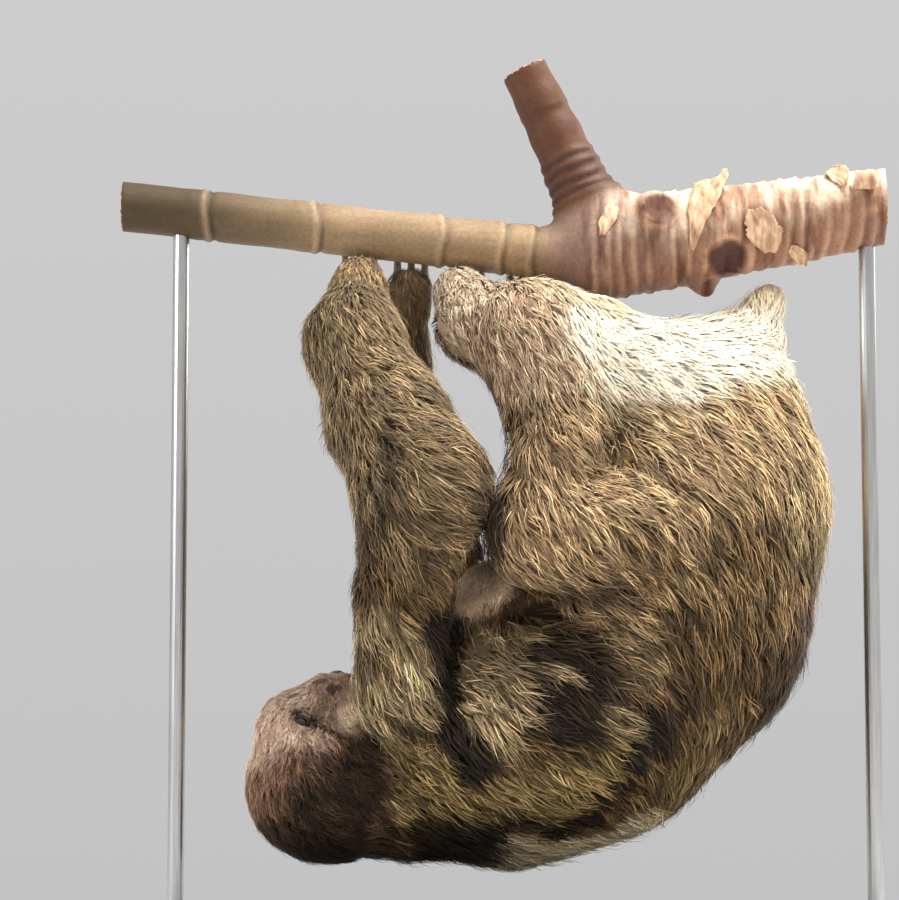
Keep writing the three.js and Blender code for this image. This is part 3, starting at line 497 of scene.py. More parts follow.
def build_skin():
    cell = 2.6
    lo, hi = np.array([-206.0, -178, 18]), np.array([248.0, 168, 496])
    cells = np.ceil((hi - lo) / (cell * 4)).astype(int)
    V, Q = marched_surface(skin_field, lo, cells, cell, -36.0, 12.0)
    V = settle(skin_field, V, 2)
    ob = make_mesh("skin", V, Q)
    bm = bmesh.new()
    bm.from_mesh(ob.data)
    # the face gets a finer mesh
    co = np.array([v.co for v in bm.verts]) / MM
    near = (face_weight(co) > 0.05) & (np.abs(group_field("head", co)) < 25)
    bm.verts.ensure_lookup_table()
    edges = [e for e in bm.edges if near[e.verts[0].index] and near[e.verts[1].index]]
    bmesh.ops.subdivide_edges(bm, edges=edges, cuts=2, use_grid_fill=True)
    bmesh.ops.triangulate(bm, faces=bm.faces[:])
    bmesh.ops.recalc_face_normals(bm, faces=bm.faces[:])
    bm.to_mesh(ob.data)
    bm.free()
    me = ob.data
    co = np.empty(len(me.vertices) * 3, np.float32)
    me.vertices.foreach_get("co", co)
    co = co.reshape(-1, 3).astype(float) / MM
    fine = (face_weight(co) > 0.0) & (np.abs(group_field("head", co)) < 25)
    co[fine] = settle(face_field, co[fine], 5, 1.0)
    me.vertices.foreach_set("co", (co * MM).astype(np.float32).ravel())
    me.update()
    me.polygons.foreach_set("use_smooth", np.ones(len(me.polygons), bool))
    return ob, co


def unwrap(ob):
    bpy.ops.object.select_all(action="DESELECT")
    bpy.context.view_layer.objects.active = ob
    ob.select_set(True)
    ob.data.uv_layers.new(name="OFBake")
    bpy.ops.object.mode_set(mode="EDIT")
    bpy.ops.mesh.select_all(action="SELECT")
    bpy.ops.uv.smart_project(angle_limit=math.radians(72), island_margin=0.004, area_weight=0.0, correct_aspect=False, scale_to_bounds=False)
    bpy.ops.object.mode_set(mode="OBJECT")
    uv = np.empty(len(ob.data.loops) * 2, np.float32)
    ob.data.uv_layers["OFBake"].data.foreach_get("uv", uv)
    return uv.reshape(-1, 2)


# ------------------------------------------------------------ markings
def mirror_head(P):
    return P - 2 * ((P - HC) @ unit(HEAD_AXES[2]))[:, None] * unit(HEAD_AXES[2])


# Marks seen from the side, the same on both sides of the animal: body parts they lie on, shape in the x-z plane
# (oval: x, z, half width, half height, tilt in degrees; streak: points, half width), colour, strength.
TRUNK = ("trunk", "neck", "haunch", "tail")
ARMS, LEGS = ("armRight", "armLeft"), ("legRight", "legLeft")
MARKS = [
    (TRUNK + LEGS, "oval", (84, 338, 44, 24, -10), "tan", 0.8),
    (TRUNK, "oval", (170, 330, 50, 52, 20), "tan", 0.9),
    (TRUNK, "oval", (206, 296, 20, 70, 4), "hay", 0.75),
    (TRUNK, "oval", (128, 398, 68, 34, 6), "cream", 0.95),
    # near-white over the hip: partly the coat's own pale colour, partly a painted highlight on the hip's top
    (TRUNK + LEGS, "oval", (80, 392, 50, 25, -16), "milk_and_highlight", 0.92),
    (TRUNK + LEGS, "streak", ([(14, 446), (40, 432), (70, 420)], 11), "buff", 0.8),
    (TRUNK + LEGS, "oval", (132, 306, 44, 32, 35), "fawn", 0.8),
    (TRUNK, "oval", (150, 262, 34, 26, 30), "umber", 0.75),
    (TRUNK, "oval", (92, 190, 58, 24, 22), "brown", 0.7),
    (TRUNK, "oval", (196, 232, 22, 38, -12), "brown", 0.75),
    # yellowish band low on the side, over a black stripe and a pale lower edge
    (TRUNK, "streak", ([(-68, 100), (-40, 103), (0, 105), (40, 108), (64, 120), (80, 138)], 13), "olive", 0.92),
    (TRUNK, "streak", ([(-54, 79), (-28, 79), (-4, 80)], 12.5), "soot", 0.95),
    (TRUNK, "streak", ([(-6, 82), (32, 88), (57, 98), (75, 114), (87, 142)], 5.5), "soot", 0.95),
    (TRUNK, "streak", ([(92, 150), (108, 162), (124, 177)], 5), "soot", 0.6),
    # the two pale streaks along the lower edge are partly painted light: the glow of light through the fur at the
    # lower rim
    (TRUNK, "streak", ([(0, 64), (34, 70), (66, 78), (92, 92)], 9), "buff", 0.9),
    (TRUNK, "streak", ([(-60, 56), (-20, 54), (14, 54)], 9), "fawn", 0.75),
    (TRUNK, "oval", (93, 147, 15, 16, 35), "soot", 0.92),
    (TRUNK, "oval", (131, 156, 15, 8, 40), "greybrown", 0.3),
    (TRUNK, "oval", (178, 176, 17, 34, -28), "soot", 0.66),
    (TRUNK, "oval", (150, 190, 18, 9, 40), "soot", 0.4),
    (TRUNK, "oval", (116, 120, 28, 9, 38), "olive", 0.5),
    # banded mass between the arm and the thigh
    (TRUNK, "oval", (76, 190, 24, 24, 0), "greybrown", 0.6),
    (TRUNK, "oval", (38, 169, 33, 39, 0), "soot", 0.93),
    (TRUNK, "oval", (-11, 166, 25, 39, 0), "straw", 0.95),
    (TRUNK, "streak", ([(-20, 204), (0, 205), (18, 200)], 5), "straw", 0.6),
    (TRUNK, "oval", (32, 176, 13, 5.5, -6), "straw", 0.7),
    (TRUNK, "oval", (70, 148, 15, 11, -30), "straw", 0.75),
    (TRUNK, "streak", ([(4, 214), (24, 220), (38, 214)], 6), "chocolate", 0.85),
    # arm
    (ARMS, "oval", (-98, 372, 26, 26, 0), "greybrown", 0.5),
    # painted shade in the crease down the arm
    (ARMS, "streak", ([(-80, 332), (-78, 316), (-74, 298), (-80, 270)], 6), "chocolate", 0.65),
    (ARMS, "oval", (-44, 316, 26, 16, -12), "umber", 0.4),
    (ARMS, "oval", (-50, 268, 22, 20, 0), "umber", 0.45),
    (ARMS, "oval", (-88, 250, 16, 30, 8), "brown", 0.85),
    (ARMS, "oval", (-62, 222, 20, 16, 0), "umber", 0.6),
    (ARMS, "oval", (-75, 184, 25, 38, 10), "straw", 0.88),
    (ARMS + TRUNK, "oval", (-54, 147, 24, 7, -10), "chocolate", 0.75),
    (ARMS + TRUNK, "oval", (-56, 131, 25, 12, -15), "olive", 0.8),
    (ARMS, "oval", (-84, 190, 9, 10, 0), "brown", 0.7),
    # painted shade in the gap between the arm and the chest
    (ARMS + TRUNK, "streak", ([(-42, 212), (-40, 180), (-37, 152), (-27, 132), (-20, 120)], 12.5), "soot", 0.95),
    # leg
    (LEGS, "oval", (-40, 414, 12, 30, 0), "foot", 0.8),
    (LEGS, "oval", (6, 398, 30, 26, -20), "shank", 0.85),
    # painted shadow under the fold of the foot and the shank
    (LEGS, "streak", ([(-16, 368), (-6, 353), (4, 338)], 8), "brown", 0.6),
    (LEGS, "oval", (26, 292, 30, 26, 0), "fawn", 0.7),
    (LEGS, "oval", (70, 286, 34, 26, -20), "tan", 0.55),
    # painted shade in the gap between the elbow and the knee, on both limbs
    (LEGS, "oval", (-9, 278, 8, 42, 0), "chocolate", 0.85),
    (ARMS, "oval", (-17, 280, 9, 40, 0), "chocolate", 0.85),
    (ARMS, "oval", (-36, 300, 26, 22, 0), "fawn", 0.2),
    (LEGS, "oval", (44, 226, 44, 14, 6), "chocolate", 0.62),
    (LEGS, "oval", (92, 250, 16, 26, 18), "umber", 0.65),
    (LEGS + TRUNK, "streak", ([(2, 336), (22, 350), (44, 356)], 5), "brown", 0.6),
    (LEGS + TRUNK, "streak", ([(46, 326), (92, 312), (112, 298), (128, 236)], 4.5), "umber", 0.5),
]
# Marks on the head, in its own axes (forward, up the crown, out to the side), the same on both sides.
HEAD_MARKS = [
    ("ball", (-8, 30, 20, 34, 26, 34), "rufous", 0.85),
    ("ball", (34, 40, 10, 30, 22, 26), "mask", 0.85),
    ("ball", (52, 24, 6, 20, 20, 26), "mask", 0.85),
    ("ball", (58, 6, 22, 16, 12, 18), "mauve", 0.55),
    ("ball", (66, -4, 8, 12, 12, 12), "wool", 0.6),
    ("ball", (46, 8, 30, 12, 12, 12), "wool", 0.75),
    ("ball", (46, -4, 36, 11, 8, 14), "white", 0.9),
    ("ball", (30, 18, 40, 9, 18, 16), "mask", 0.8),
    ("ball", (19, 16, 46, 5.5, 22, 14), "mauve", 0.8),
    ("ball", (-16, -8, 40, 37, 40, 46), "chocolate", 0.95),
    ("ball", (16, -22, 38, 24, 20, 26), "chocolate", 0.9),
    ("ball", (-44, 14, 10, 26, 50, 46), "chocolate", 0.9),
    ("ball", (-16, -38, 0, 40, 24, 40), "chocolate", 0.9),
    ("ball", (35, 20, 34, 3.2, 6.5, 12), "buff", 0.9),
    ("path", ([(43, 29, 26), (40.5, 24, 31), (38.5, 18, 35)], 2.3), "soot", 0.95),
    ("path", ([(38.5, 18, 35), (33.5, 9, 40), (29, -1, 44)], 2.1), "soot", 0.95),
    ("path", ([(46, 24, 28), (44, 17, 33), (40, 10, 37)], 1.2), "brown", 0.8),
    ("ball", (61, 5, 19, 4, 4, 6), "chocolate", 0.8),
    ("ball", (66, 12, 12, 3, 5, 6), "brown", 0.7),
    ("ball", (44, -22, 0, 18, 10, 16), "brown", 0.6),
]


def paint(P):
    """Coat colour at each point, in linear light, and how streaky the coat is there."""
    base = coat_here(P)[:, 5:8]
    fields = {g: group_field(g, P) for g in GROUPS}
    lowest = np.min(np.stack(list(fields.values())), 0)
    W = np.stack([noise(P, 26, 1), noise(P, 26, 2), noise(P, 26, 3)], 1) * 4.5 + np.stack([noise(P, 9, 4), noise(P, 9, 5), noise(P, 9, 6)], 1) * 3.2
    Q = P + W
    col = base.copy()
    for groups, shape, spec, name, strength in MARKS:
        inside = step(9, 0, np.min(np.stack([fields[g] for g in groups]), 0) - lowest)
        if shape == "oval":
            x, z, rx, rz, tilt = spec
            c, s = math.cos(math.radians(tilt)), math.sin(math.radians(tilt))
            dx, dz = Q[:, 0] - x, Q[:, 2] - z
            d = np.sqrt(((dx * c + dz * s) / rx) ** 2 + ((-dx * s + dz * c) / rz) ** 2)
        else:
            points, r = spec
            d = line_distance(Q[:, [0, 2]], points)[0] / r
        w = strength * inside * step(1.28, 0.72, d)
        col += w[:, None] * (NAMED[name] - col)
    on_head = step(8, -2, fields["head"] - np.minimum.reduce([fields[g] for g in GROUPS if g != "head"]))
    H = head_coords(P + W * 0.45)
    H[:, 2] = np.abs(H[:, 2])
    for shape, spec, name, strength in HEAD_MARKS:
        if shape == "ball":
            d = np.linalg.norm((H - np.array(spec[:3])) / np.array(spec[3:]), axis=1)
        else:
            flat = np.array([1.0, 1.0, 0.3])  # seen from the side
            d = line_distance(H * flat, np.array(spec[0]) * flat)[0] / spec[1]
        w = strength * on_head * step(1.25, 0.7, d)
        col += w[:, None] * (NAMED[name] - col)
    lips = step(3.0, 1.0, mouth_distance(P)) * on_head * 0.8
    col += lips[:, None] * (NAMED["brown"] - col)
    # the belly side, turned to the limbs, is a plain brown
    streaky = 0.30 + 0.45 * step(330, 200, P[:, 2]) * (1 - on_head) + 0.15 * noise(P, 40, 9)
    return np.clip(col, 0.004, 1), np.clip(streaky, 0.15, 0.9)


# ------------------------------------------------------------ the lie of the coat
# Body part, place, and the way the hair lies there.
LIE = [
    ("armRight", (-122, -79, 375), (-0.01, -0.12, -0.99)), ("armRight", (-94, -106, 375), (0.43, -0.65, -0.63)),
    ("armRight", (-65, -111, 370), (0.89, -0.07, -0.46)), ("armRight", (-110, -107, 327), (0.23, -0.03, -0.97)),
    ("armRight", (-84, -123, 341), (0.58, -0.27, -0.77)), ("armRight", (-43, -109, 349), (0.55, 0.11, -0.83)),
    ("armRight", (-93, -126, 274), (0.21, 0.14, -0.97)), ("armRight", (-71, -140, 304), (0.24, -0.40, -0.89)),
    ("armRight", (-49, -136, 314), (0.97, 0.07, -0.25)), ("armRight", (-23, -124, 306), (0.66, 0.40, -0.63)),
    ("armRight", (-37, -137, 269), (0.76, 0.55, -0.36)), ("armRight", (-92, -106, 225), (0.23, -0.01, -0.97)),
    ("armRight", (-68, -119, 230), (0.64, 0.19, -0.75)), ("armRight", (-43, -110, 224), (0.45, 0.65, -0.61)),
    ("armRight", (-94, -89, 181), (0.24, -0.04, -0.97)), ("armRight", (-72, -97, 168), (0.57, 0.16, -0.81)),
    ("armRight", (-56, -79, 137), (0.76, 0.41, -0.51)), ("armRight", (-97, -20, 430), (-0.05, -0.3, -0.95)),
    ("trunk", (-13, -61, 230), (-0.14, -0.51, -0.85)), ("trunk", (-29, -78, 192), (0.89, -0.13, -0.44)),
    ("trunk", (8, -91, 197), (0.94, -0.33, -0.09)), ("trunk", (1, -97, 165), (0.69, -0.19, -0.70)),
    ("trunk", (-18, -90, 137), (0.42, -0.01, -0.91)), ("trunk", (52, -103, 184), (0.95, -0.09, -0.30)),
    ("trunk", (52, -99, 143), (0.80, 0.17, -0.57)),
    ("legRight", (-30, -44, 434), (0.02, -0.75, -0.66)), ("legRight", (-17, -65, 404), (0.34, -0.18, -0.92)),
    ("legRight", (24, -20, 441), (0.70, 0.37, -0.61)), ("legRight", (9, -80, 389), (0.45, -0.54, -0.71)),
    ("legRight", (-1, -74, 357), (0.18, 0.08, -0.98)), ("haunch", (47, -78, 396), (0.90, -0.10, -0.41)),
    ("legRight", (-5, -92, 290), (-0.35, 0.11, -0.93)), ("legRight", (20, -124, 286), (0.39, -0.42, -0.82)),
    ("legRight", (1, -115, 243), (0.40, 0.25, -0.88)), ("legRight", (24, -106, 225), (0.96, 0.21, -0.19)),
    ("legRight", (52, -116, 300), (0.75, 0.19, -0.63)), ("legRight", (64, -127, 261), (0.68, 0.05, -0.73)),
    ("legRight", (71, -110, 224), (0.83, 0.30, -0.47)), ("legRight", (109, -109, 250), (0.40, 0.36, -0.84)),
    ("haunch", (86, -83, 388), (0.92, -0.14, -0.37)), ("haunch", (73, -77, 350), (0.68, -0.09, -0.73)),
    ("trunk", (118, -85, 343), (0.77, -0.16, -0.61)), ("haunch", (139, -63, 395), (0.90, -0.03, -0.44)),
    ("trunk", (185, -53, 360), (0.37, 0.10, -0.92)), ("tail", (169, -26, 420), (0.05, 0.66, 0.75)),
    ("haunch", (149, -59, 395), (0.85, 0.49, 0.20)), ("trunk", (136, -95, 302), (0.59, -0.01, -0.81)),
    ("trunk", (201, -54, 294), (0.12, 0.11, -0.99)), ("trunk", (135, -99, 244), (0.45, 0.12, -0.89)),
    ("trunk", (194, -48, 229), (-0.11, 0.13, -0.99)), ("trunk", (96, -102, 187), (0.59, 0.23, -0.77)),
    ("trunk", (148, -84, 182), (0.02, 0.45, -0.89)), ("trunk", (71, -99, 149), (0.85, 0.26, -0.47)),
    ("trunk", (124, -60, 125), (-0.43, 0.34, -0.83)), ("trunk", (72, -78, 106), (0.46, 0.63, -0.62)),
    ("trunk", (33, -88, 112), (0.91, 0.22, -0.34)), ("trunk", (-18, -82, 105), (0.86, 0.03, -0.52)),
    ("trunk", (-62, -61, 100), (0.77, -0.02, -0.63)), ("trunk", (21, -59, 74), (0.96, 0.29, -0.04)),
    ("trunk", (-30, -45, 68), (0.95, 0.03, -0.31)), ("neck", (-60, -50, 80), (0.90, 0.1, -0.35)),
    ("head", (-88, -63, 106), (0.73, 0.34, -0.60)), ("head", (-95, -45, 68), (0.93, 0.38, 0.03)),
    ("trunk", (-69, -64, 122), (0.74, -0.30, -0.60)), ("head", (-158, -54, 119), (-0.25, 0.03, -0.97)),
    ("head", (-146, -54, 81), (0.59, 0.21, -0.78)), ("head", (-133, -69, 106), (0.23, 0.02, -0.97)),
    ("head", (-152, -48, 155), (-0.59, 0.05, -0.81)), ("head", (-121, -65, 135), (0.35, -0.43, -0.84)),
    ("head", (-105, -53, 154), (0.11, -0.42, -0.90)), ("head", (-114, -65, 87), (0.59, 0.42, -0.69)),
    ("tail", (177, 0, 445), (0.1, 0.0, 0.95)), ("tail", (190, 0, 430), (0.05, 0.0, 0.99)), ("tail", (155, 0, 425), (0.1, 0.0, 0.99)),
]
OTHER_SIDE = dict(armRight="armLeft", legRight="legLeft")


def lie_tables():
    rows = []
    for group, p, d in LIE:
        p, d = np.array(p, float), np.array(d, float)
        rows.append((group, p, d))
        if group == "head":
            m = mirror_head(p[None])[0]
            n = unit(HEAD_AXES[2])
            rows.append((group, m, d - 2 * (d @ n) * n))
        elif abs(p[1]) > 1:
            rows.append((OTHER_SIDE.get(group, group), p * [1, -1, 1], d * [1, -1, 1]))
    return [r[0] for r in rows], np.array([r[1] for r in rows]), np.array([r[2] for r in rows])


LIE_GROUP, LIE_AT, LIE_WAY = lie_tables()


def nearest_group(P):
    return np.argmin(np.stack([group_field(g, P) for g in GROUPS]), 0)


def hair_way(P, N, label):
    """Unit direction that the hair lies in at each point, along the skin."""
    out = np.zeros_like(P)
    total = np.zeros(len(P))
    for g, at, way in zip(LIE_GROUP, LIE_AT, LIE_WAY):
        same = label == GROUPS.index(g)
        d2 = ((P - at) ** 2).sum(-1)
        w = np.where(same, 1.0, 0.12) / (d2 + 260.0) ** 1.7
        out += w[:, None] * way
        total += w
    out = unit(out)
    # on the face the hair runs back from the nose
    face = face_weight(P) * step(24, 40, head_coords(P)[:, 0]) * (label == GROUPS.index("head"))
    back = unit(P - (NOSE_C + 6 * HEAD_AXES[0]))
    out = unit(out * (1 - face)[:, None] + back * face[:, None])
    out -= N * (out * N).sum(-1)[:, None]
    return unit(out)


# ------------------------------------------------------------ fur
def feel(field, P, e=0.5):
    """Value and gradient of a field from four samples."""
    K = np.array([(1, -1, -1), (-1, -1, 1), (-1, 1, -1), (1, 1, 1)], float)
    f, g = np.zeros(len(P)), np.zeros_like(P)
    for k in K:
        v = field(P + k * e)
        f += v
        g += k * v[:, None]
    return f / 4, g / (4 * e)


def triangle_mesh(ob):
    me = ob.data
    n = len(me.polygons)
    T = np.empty(n * 3, np.int32)
    me.loops.foreach_get("vertex_index", T)
    return T.reshape(-1, 3)


def scatter(V, T, factor):
    """Points spread evenly over the skin: triangle, place and weights of its corners."""
    a, b, c = V[T[:, 0]], V[T[:, 1]], V[T[:, 2]]
    area = 0.5 * np.linalg.norm(np.cross(b - a, c - a), axis=1) / 100.0
    mid = (a + b + c) / 3
    rows = coat_here(mid)
    n = area * rows[:, 3] * factor
    # thinner where other flesh lies close against the skin and nothing shows
    N = unit(np.cross(b - a, c - a))
    open_air = body_field(mid + N * 34.0)
    n *= 0.25 + 0.75 * step(-6.0, 8.0, open_air)
    cum = np.cumsum(n)
    count = int(cum[-1])
    tri = np.searchsorted(cum, np.arange(count) + rng.random(count))
    tri = np.minimum(tri, len(T) - 1)
    r1, r2 = np.sqrt(rng.random(count)), rng.random(count)
    w = np.stack([1 - r1, r1 * (1 - r2), r1 * r2], 1)
    P = (w[:, :1] * a[tri] + w[:, 1:2] * b[tri] + w[:, 2:] * c[tri])
    return tri, P, w, N[tri]


def strands(P0, N0, way, L, W, H, steps, field, clump, wave, phase, pull, droop, crimp=5.0):
    """Marches every tuft over the skin; gives its rings' middles, normals and directions."""
    path, norms, dirs = [P0 - N0 * 1.0], [N0], [way]
    P, d, n = P0.copy(), way.copy(), N0.copy()
    ds = L / steps
    side0 = np.cross(way, N0)
    off = clump - P0
    lateral = (off * side0).sum(-1)[:, None] * side0
    lateral *= np.minimum(1, 7.0 / np.maximum(np.linalg.norm(lateral, axis=1, keepdims=True), 1e-6))
    top = 1 - np.exp(-2.4)
    for k in range(1, steps + 1):
        u, before = k / steps, (k - 1) / steps
        a = wave * np.sin(phase + crimp * u)
        dd = unit(turn(d, n, a))
        P = P + dd * ds[:, None] + lateral * pull[:, None] * (u ** 1.4 - before ** 1.4)
        f, g = feel(field, P)
        m = np.maximum(np.linalg.norm(g, axis=1), 0.35)
        n = g / m[:, None]
        n = unit(n)
        h = H * (1 - np.exp(-2.4 * u)) / top * (1 - droop * u * u)
        P = P + n * np.clip((h - f) / m, -1.2 * ds, 0.9 * ds)[:, None]
        d = unit(d - n * (d * n).sum(-1)[:, None])
        path.append(P)
        norms.append(n)
        dirs.append(unit(P - path[-2]))
    return path, norms, dirs


TIP = {4: [0.8, 1.0, 0.84, 0.46], 3: [0.8, 1.0, 0.6], 2: [0.9, 0.8]}


def tuft_arrays(path, norms, dirs, W, steps):
    count = len(W)
    rows, soft = [], []
    for k in range(steps):
        s = unit(np.cross(dirs[k], norms[k]))
        n = unit(np.cross(s, dirs[k]))
        w = (W * TIP[steps][k])[:, None]
        rows += [path[k] - s * w * 0.5 - n * w * 0.08, path[k] + s * w * 0.5 - n * w * 0.08, path[k] + n * w * 0.26]
        m = unit(n * 0.45 + norms[k] * 0.55)
        soft += [unit(m - s * 0.32), unit(m + s * 0.32), m]
    rows.append(path[steps])
    soft.append(norms[steps])
    V = np.stack(rows, 1)  # count, verts, 3
    S = np.stack(soft, 1)
    tris, uvs = [], []
    for k in range(steps - 1):
        for j in range(3):
            a, b = 3 * k + j, 3 * k + (j + 1) % 3
            c, d = a + 3, b + 3
            u0, u1, v0, v1 = j / 3, (j + 1) / 3, k / steps, (k + 1) / steps
            tris += [(a, d, b), (a, c, d)]
            uvs += [[(u0, v0), (u1, v1), (u1, v0)], [(u0, v0), (u0, v1), (u1, v1)]]
    k = steps - 1
    for j in range(3):
        a, b = 3 * k + j, 3 * k + (j + 1) % 3
        u0, u1 = j / 3, (j + 1) / 3
        tris.append((a, 3 * steps, b))
        uvs.append([(u0, k / steps), ((u0 + u1) / 2, 1.0), (u1, k / steps)])
    tris.append((0, 1, 2))
    uvs.append([(0.1, -0.16), (0.9, -0.16), (0.5, -0.02)])
    return V, S, np.array(tris), np.array(uvs)


PATCH = 0.003


def coat_piece(name, V, S, tris, uvs, root_uv, shade, material):
    count, nv = V.shape[:2]
    F = (tris[None] + (np.arange(count) * nv)[:, None, None]).reshape(-1, 3)
    ob = make_mesh(name, V.reshape(-1, 3), F)
    me = ob.data
    col = np.ones((count * nv, 4), np.float32)
    col[:, :3] = shade.reshape(-1, 3)
    at = me.attributes.new("Coat", "FLOAT_COLOR", "POINT")
    at.data.foreach_set("color", col.ravel())
    uv = np.clip(root_uv, 0.004, 0.996)[:, None, None, :] + (uvs[None] - 0.5) * PATCH
    layer = me.uv_layers.new(name="OFBake")
    layer.data.foreach_set("uv", uv.astype(np.float32).ravel())
    me.normals_split_custom_set_from_vertices(S.reshape(-1, 3).astype(np.float32))
    me.materials.append(material)
    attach(ob, "root")
    return ob


def eye_line(P):
    """How far each point is from the dark line behind the eye, seen from the side, and the way along the line."""
    H = head_coords(P)
    side = np.sign(H[:, 2])
    flat = np.array([1.0, 1.0, 0.12])
    Q = np.stack([H[:, 0], H[:, 1], np.abs(H[:, 2])], 1)
    d, along = line_distance(Q * flat, EYE_LINE * flat)
    i = np.clip((along * 3).astype(int), 0, 2)
    t = EYE_LINE[i + 1] - EYE_LINE[i]
    t = np.stack([t[:, 0], t[:, 1], t[:, 2] * side], 1)
    return d, along, unit(t @ HEAD_AXES)


def grow_coat(skin, V, uv, material):
    T = triangle_mesh(skin)
    loops = uv.reshape(-1, 3, 2)
    factor = 1.0 * COAT_FACTOR
    tri, P, w, N = scatter(V, T, factor)
    print("roots", len(P))
    root_uv = (w[:, :, None] * loops[tri]).sum(1)
    rows = coat_here(P)
    label = nearest_group(P)
    # bare places: eyes, nose, lips, claws' sockets and under the branch
    keep = np.ones(len(P), bool)
    for name in EYES:
        m, d = slit_measure(head_coords(P), name)
        keep &= (m > 1.4) | (d > 10)
    keep &= np.linalg.norm((P - NOSE_C) / [7.4, 9.6, 6.6], axis=1) > 1.0
    keep &= (mouth_distance(P) > 1.0) | (label != GROUPS.index("head"))
    keep &= branch_gap(P) > 2.0
    P, N, tri, root_uv, rows, label = P[keep], N[keep], tri[keep], root_uv[keep], rows[keep], label[keep]
    count = len(P)
    f, g = feel(skin_field, P)
    N = unit(N * 0.6 + unit(g) * 0.4)
    way = hair_way(P, N, label)

    # locks: roots gather round the nearest lock's middle
    _, CP, _, CN = scatter(V, T, factor / 9.0)
    tree = KDTree(len(CP))
    for i, p in enumerate(CP + 14 * CN):
        tree.insert(p, i)
    tree.balance()
    own = np.array([tree.find(p)[1] for p in (P + 14 * N)])
    m = len(CP)
    lock = dict(turn=rng.normal(0, 0.15, m), lift=rng.random(m), phase=rng.random(m) * 6.28, tone=rng.normal(0, 1, m), long=rng.normal(0, 0.12, m), wave=rng.random(m))
    depth, length, width, stand = rows[:, 0], rows[:, 1], rows[:, 2], rows[:, 4]
    big = noise(P, 60, 21) * 0.22 + noise(P, 24, 22) * 0.16
    way = unit(turn(way, N, (lock["turn"][own] + rng.normal(0, 0.085, count)) * np.where(label == GROUPS.index("head"), 1.8, 1.25) + big))
    is_head = label == GROUPS.index("head")
    stray = rng.random(count) < 0.03
    L = length * np.where(is_head, 1.0, 0.74) * np.exp(lock["long"][own] + rng.normal(0, 0.13, count)) * np.where(stray, 1.25, 1.0)
    H = depth * stand * np.clip(0.42 + 0.32 * lock["lift"][own] + 0.30 * rng.random(count), 0.2, 1.06)
    H = np.where(stray, depth * (0.9 + 0.35 * rng.random(count)), H)
    # the arm's and the knee's hair meet between them
    H = H + 5.5 * np.exp(-((P[:, 0] + 13) / 9) ** 2 - ((P[:, 2] - 258) / 20) ** 2) * rng.random(count)
    Wd = width * np.exp(rng.normal(0, 0.16, count)) * np.where(stray, 0.62, 1.0) * COAT_WIDTH
    wave = (0.04 + 0.20 * lock["wave"][own] + 0.09 * rng.random(count)) * np.where(stray, 1.6, 1.0)
    wave *= np.clip(length / 22, 0.4, 1.0)
    wave = np.where(is_head, 0.30 + 0.60 * rng.random(count), wave)
    phase = lock["phase"][own] + rng.normal(0, 0.5, count)
    pull = np.clip(0.74 + rng.normal(0, 0.15, count), 0.1, 0.96) * np.where(stray, 0.0, 1.0)
    droop = 0.12 + 0.2 * rng.random(count)
    base, streaky = paint(P + way * (L * 0.42)[:, None])
    # most hairs keep close to the colour of the place; a few paler ones lie over them and draw the streaks
    pale = rng.random(count) < (0.10 + 0.24 * streaky)
    patch = noise(P, 30, 61) * 0.18 + noise(P, 12, 62) * 0.20
    tone = np.exp((lock["tone"][own] * 0.24 + rng.normal(0, 0.12, count) + patch) * (0.6 + streaky))
    pale |= is_head & (rng.random(count) < 0.12)
    bright = step(0.30, 0.72, base.mean(1))
    lift = np.where(pale, 1.25 + np.where(is_head, 0.75, 0.65) * rng.random(count), np.where(is_head, 0.76, 0.70))
    lift = lift + (np.where(pale, 1.10, 0.96) - lift) * bright
    tone = tone ** (1 - 0.6 * bright)
    base = base * (tone * lift)[:, None] + pale[:, None] * np.array([0.007, 0.006, 0.004]) * (0.4 + rng.random(count))[:, None]
    warm = rng.normal(0, 0.04, count)[:, None]
    base = base * np.concatenate([1 + warm, np.ones((count, 1)), 1 - warm], 1)
    Wd *= np.where(pale, 0.82, 1.0)
    H *= np.where(pale, 1.10, 0.96)

    # the dark line behind the eye
    d, along, line_way = eye_line(P)
    mark = is_head & (d < 1.9) & (np.abs(head_coords(P)[:, 2]) > 20) & (along < 0.98)
    t = line_way - N * (line_way * N).sum(1)[:, None]
    way = np.where(mark[:, None], unit(t), way)
    base = np.where(mark[:, None], NAMED["soot"] * (0.8 + 0.8 * rng.random(count))[:, None], base)
    H = np.where(mark, depth * 1.25 + 0.8, H)
    L = np.where(mark, 7.0, L)
    wave = np.where(mark, 0.06, wave)
    pull = np.where(mark, 0.0, pull)

    made = []
    short = np.where(is_head, length < 7.5, length < 40.0)
    for head in (False, True):
        for steps, pick in ((2, short), (3, ~short)) if head else ((3, short), (4, ~short)):
            sel = np.nonzero(pick & (is_head == head))[0]
            if not len(sel):
                continue
            field = face_field if head else skin_field
            path, norms, dirs = strands(P[sel], N[sel], way[sel], L[sel], Wd[sel], H[sel], steps, field, CP[own[sel]], wave[sel], phase[sel], pull[sel] * (0.8 if head else 1.0), droop[sel], 8.0 if head else 4.2)
            # nothing grows into the branch or over an eye
            ok = np.ones(len(sel), bool)
            for p in path[1:]:
                ok &= branch_gap(p) > 0.6
                for name in EYES:
                    m, d = slit_measure(head_coords(p), name)
                    ok &= (m > 1.14) | (d > 13)
                ok &= np.linalg.norm((p - NOSE_C) / [6.2, 8.7, 5.2], axis=1) > 1.0
            VV, SS, tris, uvs = tuft_arrays(path, norms, dirs, Wd[sel], steps)
            # each tuft darkens towards its root, painted shade deep in the coat, and pales towards its tip
            ramp = {4: [0.5, 0.80, 1.02, 1.12, 1.2], 3: [0.5, 0.88, 1.10, 1.2], 2: [0.6, 1.0, 1.2]}[steps]
            ramp = np.repeat(ramp, 3)[: 3 * steps + 1]
